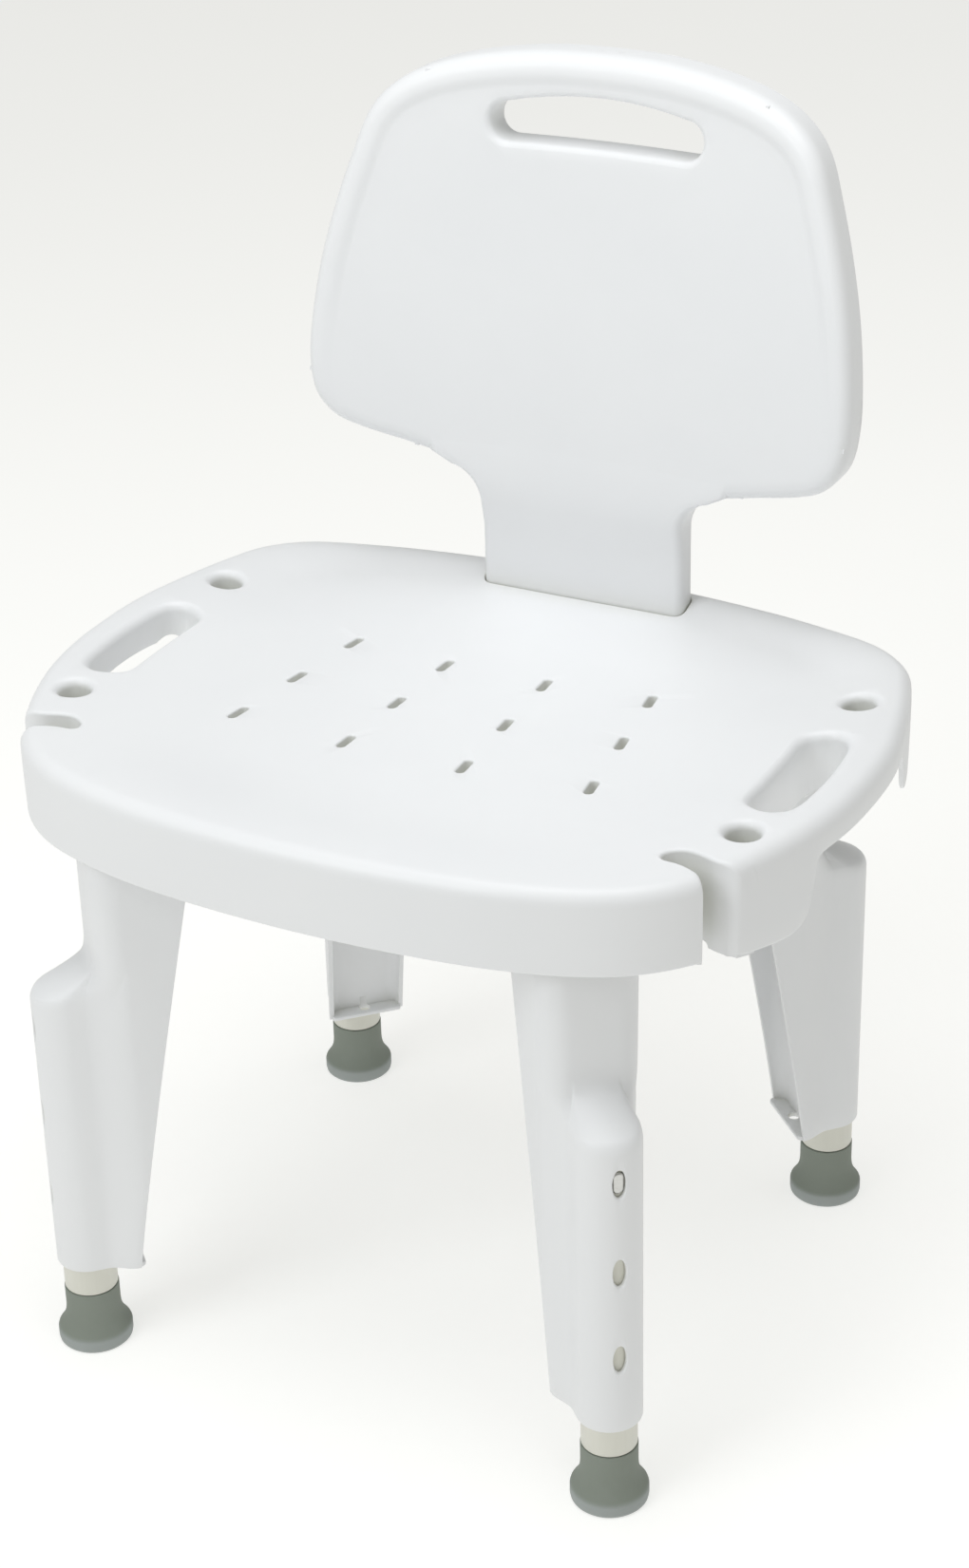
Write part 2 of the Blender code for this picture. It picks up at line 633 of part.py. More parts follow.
def build_backrest():
    """Open-backed moulded panel with its rim, ribs and hand slot, on a neck that ends in a tongue."""
    outline = smooth_loop(mirrored(PANEL_OUTLINE))
    centre = (0.0, (PANEL_OUTLINE[0][1] + PANEL_OUTLINE[-1][1]) / 2)
    field = inset(outline, 0.018)
    back_field = inset(outline, 0.016)
    deep = PANEL_FIELD + PANEL_SKIN
    rings = [ring_at(scaled(field, share, centre), PANEL_FIELD) for share in (0.30, 0.65)]
    rings += [ring_at(field, PANEL_FIELD), ring_at(inset(outline, 0.0135), PANEL_FIELD * 0.4)]
    for distance, depth in ((0.010, 0.0), (0.006, 0.0006), (0.0025, 0.0030), (0.0006, 0.0070), (0.0, 0.012),
                            (0.0, PANEL_DEPTH), (PANEL_SKIN, PANEL_DEPTH), (PANEL_SKIN + 0.0005, 0.0095)):
        rings.append(ring_at(inset(outline, distance), depth))
    rings += [ring_at(back_field, deep)]
    rings += [ring_at(scaled(back_field, share, centre), deep) for share in (0.65, 0.30)]
    panel = bent("backrest", rings)

    rear = PANEL_DEPTH - 0.003
    skin = deep - EMBED
    tunnel = [ring_at(slot_outline(SLOT_LIP), skin), ring_at(slot_outline(SLOT_LIP), rear),
              ring_at(slot_outline(-0.001), rear), ring_at(slot_outline(-0.001), skin)]
    tunnel_solid = ring_solid("slot_tunnel", tunnel)
    added = [tunnel_solid]
    margin = 0.0018
    for x in PANEL_RIBS:
        added.append(panel_rib((x, panel_edge(x, False) + margin), (x, SLOT_FLOOR - SLOT_LIP + margin
                     if abs(x) < SLOT_HALF else panel_edge(x, True) - margin), (1, 0), skin, rear - 0.002))
    for z in (SEAT_HEIGHT + rise for rise in PANEL_SHELVES):
        half = max(x for (x, a), (_, b) in zip(outline, outline[1:] + outline[:1]) if (a - z) * (b - z) <= 0)
        added.append(panel_rib((-half + margin, z), (half - margin, z), (0, 1), skin, rear - 0.002, 10))
    neck = plate("neck", [neck_outline(0.0)], SEAT_HEIGHT - TONGUE_LENGTH, NECK_TOP + 0.018)
    flare = ([(NECK_HALF - 0.002, NECK_TOP - 0.022), (NECK_HALF, NECK_TOP - 0.022)]
             + arc((NECK_HALF + 0.026, NECK_TOP - 0.018), 0.026, 180, 100, 5) + [(0.096, NECK_TOP + 0.019)])
    whole = flare + [(-x, z) for x, z in reversed(flare)]
    upright = Matrix.Rotation(math.pi / 2, 4, "X")
    gusset = plate("gusset", [whole], -(NECK_FRONT + NECK_THICK - 0.001), -(NECK_FRONT + 0.001), upright)
    added += [neck, gusset]
    join(panel, added)
    slot = bent("slot", [ring_at(slot_outline(0.0), -THROUGH), ring_at(slot_outline(0.0), PANEL_DEPTH + THROUGH)])
    cut(panel, [slot])
    return panel


def ring_solid(name, rings):
    """Closed band through rings, the last one joined to the first."""
    bm = bmesh.new()
    rows = [[bm.verts.new((x, panel_front(x, z) + depth, z)) for x, depth, z in ring] for ring in rings]
    for upper, lower in zip(rows, rows[1:] + rows[:1]):
        for i in range(len(upper)):
            j = (i + 1) % len(upper)
            bm.faces.new((upper[i], upper[j], lower[j], lower[i]))
    bm.normal_update()
    return from_bmesh(name, bm)


# ---------------------------------------------------------------- legs, in their corner frame
LEG_TOP = DECK_UNDER - GAP
TUBE_TOP = TUBE_BOTTOM + TUBE_LENGTH
BORE_RADIUS = TUBE_RADIUS + TUBE_GAP
POCKET_RADIUS = BORE_RADIUS + POCKET_WALL


def ease(share):
    return share * share * (3 - 2 * share)


def leg_section(z, stand):
    """U-shaped section, open towards the middle of the chair; stand is the pocket's share of its size."""
    share = (z - LEG_BOTTOM) / (LEG_TOP - LEG_BOTTOM)
    depth = LEG_BOTTOM_DEPTH + (LEG_TOP_DEPTH - LEG_BOTTOM_DEPTH) * share ** LEG_SWEEP
    half = LEG_BOTTOM_HALF + (LEG_TOP_HALF - LEG_BOTTOM_HALF) * share
    radius = min(LEG_CORNER, depth + LEG_FACE - 0.001)
    middle = LEG_FACE - radius
    start = -min(depth - 0.001, VALLEY_REACH)
    valley = [(start + (-VALLEY_START - start) * k / 6, half + (POCKET_RADIUS - half) * ease(k / 6))
              for k in range(7)]
    nose = [(y, x) for x, y in arc((0, 0), POCKET_RADIUS, 0, 90, 7)]
    corner_arc = [(x, y) for x, y in reversed(arc((middle, half - radius), radius, 0, 90, 4))]
    plain = [(start, half), (start * 0.5 + middle * 0.5, half)] + corner_arc
    plain += [(LEG_FACE, (half - radius) * (1 - k / 8)) for k in range(1, 9)]
    side = [(-depth, half)]
    for (x0, y0), (x1, y1) in zip(plain, valley + nose):
        side.append((x0 + (x1 - x0) * stand, y0 + (y1 - y0) * stand))
    outside = side + [(x, -y) for x, y in side[-2::-1]]
    inner = radius - LEG_WALL
    inside = [(-depth, -half + LEG_WALL)] + arc((middle, -half + radius), inner, -90, 0, 4)
    inside += arc((middle, half - radius), inner, 0, 90, 4) + [(-depth, half - LEG_WALL)]
    return [(x, y, z) for x, y in outside + inside]


def build_leg():
    """Tapered channel with the tube's pocket, its three height holes and the bottom web."""
    slope = math.radians(DOME_SLOPE)
    front = POCKET_RADIUS - DOME_RADIUS
    steep = math.pi / 2 - slope
    profile = [(front + DOME_RADIUS * math.cos(angle), DOME_START + DOME_RADIUS * math.sin(angle))
               for angle in (steep * k / 3 for k in range(4))]
    landing = LEG_FACE + DOME_FILLET - DOME_FILLET * math.sin(slope)
    climb = (profile[-1][0] - landing) * math.tan(slope)
    base = profile[-1][1] + climb
    profile.append(((profile[-1][0] + landing) / 2, base - climb / 2))
    profile += [(LEG_FACE + DOME_FILLET * (1 - math.sin(slope + steep * k / 3)),
                 base + DOME_FILLET * (math.cos(slope) - math.cos(slope + steep * k / 3))) for k in range(4)]
    levels = [(z, 1.0) for z in (LEG_BOTTOM, LEG_BOTTOM + 0.045, LEG_BOTTOM + 0.09, LEG_BOTTOM + 0.14)]
    levels += [(z, (x - LEG_FACE) / (POCKET_RADIUS - LEG_FACE)) for x, z in profile]
    levels += [((levels[-1][0] + LEG_TOP) / 2, 0.0), (LEG_TOP, 0.0)]
    leg = loft("leg", [leg_section(z, stand) for z, stand in levels])
    web_back = -LEG_BOTTOM_DEPTH - WEB_OVERHANG
    web_half = LEG_BOTTOM_HALF - LEG_WALL / 2
    web_plan = rounded_box((web_back, -web_half), (LEG_FACE - 0.0015, web_half), 0.002, 1)
    web = plate("web", [web_plan], LEG_BOTTOM - 0.0002, LEG_BOTTOM + WEB_THICK)
    join(leg, [web])

    bore_top = TUBE_TOP + GAP
    low = LEG_BOTTOM - THROUGH
    bore = turned("bore", [(0, bore_top), (BORE_RADIUS, bore_top), (BORE_RADIUS, low), (0, low)])
    lowest = HOLE_TOP - (HOLE_COUNT - 1) * HOLE_PITCH
    half = BUTTON_HALF_WIDTH + BUTTON_GAP * 2
    reach = BUTTON_HALF_HEIGHT + BUTTON_GAP * 4
    relief = block("relief", (0, -half, lowest - reach), (BORE_RADIUS + RELIEF_DEPTH, half, HOLE_TOP + reach))
    holes = [bore, relief]
    outward = Matrix.Rotation(math.pi / 2, 4, "Y")
    for i in range(HOLE_COUNT):
        oval = [(-HOLE_HALF_HEIGHT * math.cos(a), HOLE_HALF_WIDTH * math.sin(a))
                for a in (math.tau * k / 12 for k in range(12))]
        place = Matrix.Translation((0, 0, HOLE_TOP - i * HOLE_PITCH)) @ outward
        holes.append(plate("hole", [oval], TUBE_RADIUS / 2, POCKET_RADIUS + THROUGH, place))
    drain_place = Matrix.Translation((web_back + WEB_DRAIN, 0, LEG_BOTTOM))
    drain = WEB_DRAIN / 2
    holes.append(turned("web_drain", [(0, 0.01), (drain, 0.01), (drain, -0.01), (0, -0.01)], drain_place, 12))
    holes.append(screw_hole(SCREW_RADIUS + 2 * GAP))
    cut(leg, holes)
    return leg


def build_tube():
    """Height tube with its reduced spigot for the foot and the slot for the button."""
    shoulder = TUBE_BOTTOM + SPIGOT_LENGTH
    inner = TUBE_RADIUS - TUBE_WALL
    spigot_bore = SPIGOT_RADIUS - SPIGOT_WALL
    tube = turned("tube", [
        (TUBE_RADIUS - 0.0008, TUBE_TOP), (TUBE_RADIUS, TUBE_TOP - 0.0008), (TUBE_RADIUS, shoulder),
        (SPIGOT_RADIUS, shoulder), (SPIGOT_RADIUS, TUBE_BOTTOM), (spigot_bore, TUBE_BOTTOM),
        (spigot_bore, shoulder + 0.002), (inner, shoulder + 0.005), (inner, TUBE_TOP)])
    place = Matrix.Translation((0, 0, HOLE_TOP)) @ Matrix.Rotation(math.pi / 2, 4, "Y")
    outline = stadium(BUTTON_HALF_HEIGHT + BUTTON_GAP, BUTTON_HALF_WIDTH + BUTTON_GAP, 5)
    cut(tube, [plate("button_slot", [outline], SPIGOT_WALL, TUBE_RADIUS + THROUGH, place)])
    return tube


def build_foot():
    """Rubber foot: sleeve over the spigot, flared rim and solid floor."""
    bore = SPIGOT_RADIUS + GAP
    flare = [(FOOT_SLEEVE_RADIUS, FOOT_HEIGHT * 0.62), (FOOT_SLEEVE_RADIUS + 0.0009, FOOT_HEIGHT * 0.47),
             (FOOT_SLEEVE_RADIUS + 0.0030, FOOT_HEIGHT * 0.34), (FOOT_FLANGE_RADIUS, FOOT_RIM)]
    return turned("foot", [(FOOT_SLEEVE_RADIUS, FOOT_HEIGHT)] + flare + [
        (FOOT_FLANGE_RADIUS, 0.0022), (FOOT_FLANGE_RADIUS - 0.0016, 0.0), (0, 0.0), (0, FOOT_FLOOR),
        (bore, FOOT_FLOOR), (bore, FOOT_HEIGHT)])


def build_washer():
    """Steel disc that keeps the tube from cutting through the foot."""
    low = FOOT_FLOOR + GAP
    high = low + WASHER_THICK
    outer = SPIGOT_RADIUS - GAP
    return turned("washer", [(outer, high), (outer, low), (WASHER_BORE, low), (WASHER_BORE, high)])


def build_button():
    """Oval snap button with a rounded tip and a flange that stays inside the tube."""
    outward = Matrix.Translation((0, 0, HOLE_TOP)) @ Matrix.Rotation(math.pi / 2, 4, "Y")
    tip = TUBE_RADIUS + BUTTON_PROUD
    flange_top = math.sqrt((TUBE_RADIUS - TUBE_WALL) ** 2 - (BUTTON_HALF_WIDTH + FLANGE_EDGE) ** 2) - 2 * GAP
    button = plate("button", [stadium(BUTTON_HALF_HEIGHT, BUTTON_HALF_WIDTH)], flange_top - 0.0005, tip, outward)
    round_edges(button, 0.0009, 2, lambda edge: all(abs(v.co.x - tip) < 0.00005 for v in edge.verts)
                and any(abs(face.normal.x) < 0.5 for face in edge.link_faces))
    outline = stadium(BUTTON_HALF_HEIGHT + FLANGE_EDGE, BUTTON_HALF_WIDTH + FLANGE_EDGE)
    join(button, [plate("flange", [outline], flange_top - BUTTON_FLANGE, flange_top, outward)])
    return button


def build_spring():
    """Bent leaf spring behind the button, its other arm on the far wall of the tube."""
    flange_top = math.sqrt((TUBE_RADIUS - TUBE_WALL) ** 2 - (BUTTON_HALF_WIDTH + FLANGE_EDGE) ** 2) - 2 * GAP
    front = flange_top - BUTTON_FLANGE - BUTTON_TRAVEL - GAP - SPRING_THICK
    rear = -math.sqrt((TUBE_RADIUS - TUBE_WALL) ** 2 - (SPRING_WIDTH / 2) ** 2) + GAP + SPRING_THICK
    bend = (front - rear) / 2
    middle = (front + rear) / 2
    top = HOLE_TOP + BUTTON_HALF_HEIGHT
    low = top - SPRING_LENGTH + bend
    path = [(front, top)] + arc((middle, low), bend, 0, -180, 8) + [(rear, top)]
    outer = [(front + SPRING_THICK, top)] + arc((middle, low), bend + SPRING_THICK, 0, -180, 8)
    outer += [(rear - SPRING_THICK, top)]
    upright = Matrix.Rotation(math.pi / 2, 4, "X")
    return plate("spring", [outer + path[::-1]], -SPRING_WIDTH / 2, SPRING_WIDTH / 2, upright)


def build_screw():
    """Pan-head screw along the diagonal, through the leg into the seat's plug."""
    place = Matrix.Translation((LEG_FACE + GAP, 0, DECK_UNDER - SCREW_DROP)) @ Matrix.Rotation(math.pi / 2, 4, "Y")
    head = SCREW_HEAD_THICK
    return turned("screw", [
        (0, head), (SCREW_HEAD_RADIUS * 0.7, head * 0.92), (SCREW_HEAD_RADIUS, head * 0.45), (SCREW_HEAD_RADIUS, 0),
        (SCREW_RADIUS, 0), (SCREW_RADIUS, -SCREW_LENGTH + 0.002), (0, -SCREW_LENGTH)], place, 16)


# ---------------------------------------------------------------- assembly
PANEL_REAR = panel_front(0.0, PANEL_OUTLINE[0][1]) + PANEL_DEPTH
chair = bpy.data.objects.new("chair_frame", None)
chair.location.y = -(SEAT_OUTLINE[0][1] + PANEL_REAR) / 2
PARTS.objects.link(chair)

show(build_seat(), "seat_shell", WHITE_PLASTIC, chair)
show(build_backrest(), "backrest", WHITE_PLASTIC, chair)

for piece, build, finish in (("leg_housing", build_leg, WHITE_PLASTIC), ("leg_tube", build_tube, CREAM_TUBE),
                             ("rubber_foot", build_foot, GREY_RUBBER), ("foot_washer", build_washer, STEEL),
                             ("snap_button", build_button, STEEL), ("button_spring", build_spring, STEEL),
                             ("leg_screw", build_screw, STEEL)):
    first = build()
    for corner, place in CORNERS.items():
        copy = first.copy()
        copy.data = first.data.copy()
        CUTTERS.objects.link(copy)
        axis = bpy.data.objects.get("axis_" + corner)
        if axis is None:
            axis = bpy.data.objects.new("axis_" + corner, None)
            axis.matrix_world = place
            axis.parent = chair
            PARTS.objects.link(axis)
        show(copy, piece + "_" + corner, finish, axis)
    bpy.data.objects.remove(first, do_unlink=True)
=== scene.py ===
import math

import bmesh
import bpy
from mathutils import Matrix, Vector


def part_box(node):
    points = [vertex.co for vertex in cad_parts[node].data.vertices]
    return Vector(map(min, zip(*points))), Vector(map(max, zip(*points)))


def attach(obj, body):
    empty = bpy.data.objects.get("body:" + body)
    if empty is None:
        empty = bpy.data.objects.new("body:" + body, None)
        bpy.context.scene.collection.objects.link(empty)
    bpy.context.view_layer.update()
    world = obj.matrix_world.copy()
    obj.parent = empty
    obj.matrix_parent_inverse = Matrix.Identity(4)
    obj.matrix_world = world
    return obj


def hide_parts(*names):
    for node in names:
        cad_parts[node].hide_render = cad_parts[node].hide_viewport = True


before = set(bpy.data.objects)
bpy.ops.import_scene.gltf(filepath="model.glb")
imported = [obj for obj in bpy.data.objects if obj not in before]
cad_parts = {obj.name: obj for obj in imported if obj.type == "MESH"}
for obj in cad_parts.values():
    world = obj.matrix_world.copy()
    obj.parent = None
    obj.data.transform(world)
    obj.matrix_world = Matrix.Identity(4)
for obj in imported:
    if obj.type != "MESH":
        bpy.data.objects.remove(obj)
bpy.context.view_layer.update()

# ---- Seat shell -------------------------------------------------------------------------------
# One injection-moulded polypropylene shell: an oval bowl inside a rounded rim, with a thin skirt
# all round. It hangs over the leg tops and takes the tongue of the backrest in a slot at the rear.
seat_low, seat_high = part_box("seat_shell")
GRID_Y = seat_low.y + 0.193      # middle of the drain holes
BOWL_Z = 0.400
DECK_UNDER = 0.396
RIM_CREST = 0.0065
FRONT_CREST = 0.0042
EDGE_RADIUS = 0.0095
SKIRT_WALL = 0.0034
RIB_HALF = 0.00125
SEAT_HALF = ((0.000, -0.193), (0.068, -0.190), (0.126, -0.182), (0.176, -0.166), (0.209, -0.142),
             (0.230, -0.110), (0.248, -0.067), (0.258, -0.026), (0.261, 0.016), (0.259, 0.060),
             (0.250, 0.102), (0.2395, 0.137), (0.2265, 0.165), (0.2005, 0.186), (0.160, 0.198),
             (0.118, 0.206), (0.062, 0.212), (0.000, 0.214))


def smooth_loop(points, steps):
    """Closed Catmull-Rom curve through plan points."""
    loop = []
    for i in range(len(points)):
        a, b, c, d = (Vector(points[(i + k) % len(points)]) for k in (-1, 0, 1, 2))
        for t in (step / steps for step in range(steps)):
            loop.append(0.5 * ((2 * b) + (c - a) * t + (2 * a - 5 * b + 4 * c - d) * t * t
                               + (3 * b - a - 3 * c + d) * t ** 3))
    return loop


def both_halves(half):
    return list(half) + [(-x, y) for x, y in reversed(half[1:-1])]


def inset(loop, distance):
    """The loop moved inwards, or outwards for a negative distance."""
    area = sum(a[0] * b[1] - b[0] * a[1] for a, b in zip(loop, loop[1:] + loop[:1]))
    turn = 1.0 if area > 0 else -1.0
    moved = []
    for before, point, after in zip(loop[-1:] + loop[:-1], loop, loop[1:] + loop[:1]):
        along = (after - before).normalized()
        moved.append(point + Vector((-along.y, along.x)) * turn * distance)
    return moved


def ease(value, low, high):
    t = min(1.0, max(0.0, (value - low) / (high - low)))
    return t * t * (3 - 2 * t)


def loft_mesh(name, rings, loop_round=False):
    """Mesh through rings of equally many points, closed at both ends or run round to its start."""
    bm = bmesh.new()
    rows = [[bm.verts.new(point) for point in ring] for ring in rings]
    pairs = list(zip(rows, rows[1:])) + ([(rows[-1], rows[0])] if loop_round else [])
    for upper, lower in pairs:
        for i in range(len(upper)):
            j = (i + 1) % len(upper)
            bm.faces.new((upper[i], upper[j], lower[j], lower[i]))
    if not loop_round:
        bm.faces.new(rows[0])
        bm.faces.new(rows[-1])
    bmesh.ops.recalc_face_normals(bm, faces=bm.faces)
    mesh = bpy.data.meshes.new(name)
    bm.to_mesh(mesh)
    bm.free()
    made = bpy.data.objects.new(name, mesh)
    bpy.context.scene.collection.objects.link(made)
    return made


def combine(made, others, operation):
    """Join moulded features to a shell, or cut openings from it, in one exact Boolean."""
    group = bpy.data.collections.new(made.name + "_" + operation.lower())
    bpy.context.scene.collection.children.link(group)
    for other in others:
        group.objects.link(other)
    step = made.modifiers.new(operation.lower(), "BOOLEAN")
    step.operation = operation
    step.operand_type = "COLLECTION"
    step.collection = group
    step.solver = "EXACT"
    bpy.context.view_layer.update()
    graph = bpy.context.evaluated_depsgraph_get()
    made.data = bpy.data.meshes.new_from_object(made.evaluated_get(graph))
    made.modifiers.clear()
    for other in others:
        bpy.data.objects.remove(other, do_unlink=True)
    bpy.data.collections.remove(group)
    return made


SEAT_LOOP = smooth_loop(both_halves(SEAT_HALF), 13)
SEAT_MIDDLE = Vector((0.0, (SEAT_HALF[0][1] + SEAT_HALF[-1][1]) / 2))
SEAT_REACH = [(point - SEAT_MIDDLE).length for point in SEAT_LOOP]
SEAT_BEARING = [math.atan2(point.y - SEAT_MIDDLE.y, point.x) for point in SEAT_LOOP]
SEAT_ORDER = sorted(range(len(SEAT_LOOP)), key=lambda i: SEAT_BEARING[i])


def seat_reach(bearing):
    """Distance from the middle of the seat to its outline in a direction."""
    bearings = [SEAT_BEARING[i] for i in SEAT_ORDER]
    reaches = [SEAT_REACH[i] for i in SEAT_ORDER]
    if bearing <= bearings[0] or bearing >= bearings[-1]:
        return (reaches[0] + reaches[-1]) / 2
    low, high = 0, len(bearings) - 1
    while high - low > 1:
        mid = (low + high) // 2
        if bearings[mid] <= bearing:
            low = mid
        else:
            high = mid
    share = (bearing - bearings[low]) / max(1e-9, bearings[high] - bearings[low])
    return reaches[low] + (reaches[high] - reaches[low]) * share


def edge_distance(point):
    """Plan distance from a point inside the seat to its outline, negative for a point outside."""
    gaps = []
    for a, b in zip(SEAT_LOOP, SEAT_LOOP[1:] + SEAT_LOOP[:1]):
        along = b - a
        share = min(1.0, max(0.0, (point - a).dot(along) / along.length_squared))
        gaps.append((point - a - along * share).length)
    offset = point - SEAT_MIDDLE
    inside = offset.length < seat_reach(math.atan2(offset.y, offset.x))
    return min(gaps) if inside else -min(gaps)


def crest_height(point):
    """Height of the seat's top before its outer edge is rounded: flat oval bowl, slope, rim crest."""
    offset = point - SEAT_MIDDLE
    share = offset.length / seat_reach(math.atan2(offset.y, offset.x))
    crest = FRONT_CREST + (RIM_CREST - FRONT_CREST) * ease(point.y, -0.150, -0.040)
    rear = ease(point.y, 0.040, 0.150)
    return BOWL_Z + crest * ease(share, 0.60 + 0.21 * rear, 0.93 + 0.015 * rear)


def deck_height(point):
    """Top of the seat at a plan point, with its rounded outer edge."""
    offset = point - SEAT_MIDDLE
    height = crest_height(point)
    if offset.length < 0.88 * seat_reach(math.atan2(offset.y, offset.x)):
        return height
    gone = min(EDGE_RADIUS, EDGE_RADIUS - edge_distance(point))
    if gone > 0:
        height -= EDGE_RADIUS - math.sqrt(EDGE_RADIUS ** 2 - gone ** 2)
    return height


# Lower edge of the skirt seen from the side, from the front corner lobe over the arch to the rear.
ARCH_POINTS = ((-0.119, 0.3520), (-0.112, 0.3512), (-0.104, 0.3472), (-0.093, 0.3457), (-0.080, 0.3444),
               (-0.070, 0.3443), (-0.0625, 0.3458), (-0.0565, 0.3498), (-0.0525, 0.3560), (-0.0508, 0.3640),
               (-0.0500, 0.3745), (-0.0470, 0.3825), (-0.040, 0.3853), (-0.010, 0.3855), (0.040, 0.3855),
               (0.074, 0.3855), (0.085, 0.3835), (0.0915, 0.374), (0.097, 0.360), (0.107, 0.3532),
               (0.125, 0.3530))
ARCH = smooth_loop(ARCH_POINTS, 6)[:6 * (len(ARCH_POINTS) - 1) + 1]


def skirt_bottom(y):
    """Lower edge of the skirt: shallow at front and rear, deep corner lobes, arched sides."""
    for (y0, z0), (y1, z1) in zip(ARCH, ARCH[1:]):
        if y0 <= y <= y1:
            return z0 + (z1 - z0) * (y - y0) / (y1 - y0)
    return ARCH[0][1] if y < ARCH[0][0] else ARCH[-1][1]


def seat_ring(loop, height):
    return [(p.x, p.y + GRID_Y, height(p) if callable(height) else height) for p in loop]


def scaled(share):
    """The seat's outline drawn in towards its middle."""
    return [SEAT_MIDDLE + (p - SEAT_MIDDLE) * share for p in SEAT_LOOP]


# Rings run from the middle of the bowl over the rim, down the skirt and back under the deck.
BOWL_SHARES = (0.04, 0.12, 0.22, 0.33, 0.44, 0.54, 0.60, 0.66, 0.72, 0.77, 0.80, 0.825, 0.85, 0.87, 0.89)
rings = [seat_ring(scaled(share), crest_height) for share in BOWL_SHARES]
for distance in (0.018, 0.0135, EDGE_RADIUS):
    rings.append(seat_ring(inset(SEAT_LOOP, distance), crest_height))
crest_ring = [point[2] for point in rings[-1]]
for step in range(1, 8):
    angle = math.radians(90 * step / 7)
    loop = inset(SEAT_LOOP, EDGE_RADIUS * (1 - math.sin(angle)))
    drop = EDGE_RADIUS * (1 - math.cos(angle))
    rings.append([(p.x, p.y + GRID_Y, z - drop) for p, z in zip(loop, crest_ring)])
lower = [skirt_bottom(p.y) for p in SEAT_LOOP]
for share, distance in ((0.25, 0.0), (0.5, 0.0001), (0.75, 0.0003), (1.0, 0.0005)):
    loop = inset(SEAT_LOOP, distance)
    rings.append([(p.x, p.y + GRID_Y, (z - EDGE_RADIUS) * (1 - share) + (low + 0.0016) * share)
                  for p, z, low in zip(loop, crest_ring, lower)])
for distance, rise in ((0.0007, 0.0007), (0.0014, 0.0001), (0.0025, 0.0001), (0.0032, 0.0007),
                       (SKIRT_WALL, 0.0018)):
    loop = inset(SEAT_LOOP, distance)
    rings.append([(p.x, p.y + GRID_Y, low + rise) for p, low in zip(loop, lower)])
rings.append(seat_ring(inset(SEAT_LOOP, SKIRT_WALL), DECK_UNDER - 0.003))
rings.append(seat_ring(inset(SEAT_LOOP, SKIRT_WALL + 0.0009), DECK_UNDER - 0.0009))
rings.append(seat_ring(inset(SEAT_LOOP, SKIRT_WALL + 0.003), DECK_UNDER))
rings += [seat_ring(scaled(share), DECK_UNDER) for share in (0.8, 0.5, 0.2, 0.04)]
seat = loft_mesh("seat", rings)


# Ways through the deck share one form: a straight wall that turns out into the deck with a soft lip.
def deck_opening(name, loop, lip, low, steps=6, slope=14):
    """Cutter for an opening in the deck whose lip follows the deck's own height."""
    end = math.radians(90 - slope)
    rows = [seat_ring(loop, low)]
    for step in range(steps + 1):
        angle = end * step / steps
        drop = lip * (math.sin(end) - math.sin(angle))
        rows.append(seat_ring(inset(loop, -lip * (1 - math.cos(angle))), lambda p: deck_height(p) - drop))
    for out in (0.0005, 0.0012):
        wide = inset(loop, -lip * (1 - math.cos(end)) - out)
        rows.append(seat_ring(wide, lambda p: deck_height(p) + out / math.tan(end)))
    rows.append(seat_ring(wide, 0.430))
    return loft_mesh(name, rows)


def straight_wall(name, loop, low, high):
    return loft_mesh(name, [seat_ring(loop, low), seat_ring(loop, high)])


def grip_loop(side, margin):
    """Side hand slot in plan: straight inner edge, bowed outer edge, full round ends."""
    half = 0.051 + margin
    near = 0.206 - margin
    far = 0.236 + margin
    width = far - near
    points = [(near, -half + width * 0.35), (near, -half * 0.3), (near, half * 0.3),
              (near, half - width * 0.35), (near + width * 0.28, half - width * 0.05),
              (near + width * 0.60, half - width * 0.01),
              (far - width * 0.12, half - width * 0.30), (far - width * 0.01, half * 0.30),
              (far - width * 0.01, -half * 0.30), (far - width * 0.12, -half + width * 0.30),
              (near + width * 0.60, -half + width * 0.01), (near + width * 0.28, -half + width * 0.05)]
    return smooth_loop([(side * x, y + 0.008) for x, y in points], 7)


HOOK = ((0.1885, -0.1140), (0.1895, -0.1085), (0.1945, -0.1045), (0.2010, -0.1030), (0.2090, -0.1048),
        (0.2170, -0.1075), (0.2245, -0.1080), (0.2303, -0.1068), (0.2343, -0.1032), (0.2375, -0.0975),
        (0.2560, -0.0940), (0.2560, -0.1380), (0.2400, -0.1490), (0.2270, -0.1430), (0.2232, -0.1358),
        (0.2200, -0.1292), (0.2145, -0.1236), (0.2070, -0.1198), (0.1990, -0.1175), (0.1920, -0.1168))


def hook_loop(side, margin):
    """Comma-shaped hook in plan; its mouth opens through the skirt with rounded lips."""
    return inset(smooth_loop([(side * x, y) for x, y in HOOK], 6), -margin)


def slot_loop(length, width, place, steps=6):
    """Round-ended slot in plan, long along the X axis of its place."""
    reach = (length - width) / 2
    points = []
    for end in (1, -1):
        for step in range(steps + 1):
            angle = math.radians(-90 + 180 * step / steps) + (0 if end == 1 else math.pi)
            points.append(Vector((end * reach + width / 2 * math.cos(angle), width / 2 * math.sin(angle))))
    moved = [place @ Vector((p.x, p.y, 0)) for p in points]
    return [Vector((p.x, p.y)) for p in moved]


def arc(centre, radius, start, end, steps):
    """Points on an arc, between two bearings in degrees."""
    points = []
    for k in range(steps + 1):
        angle = math.radians(start + (end - start) * k / steps)
        points.append(Vector((centre[0] + radius * math.cos(angle), centre[1] + radius * math.sin(angle))))
    return points


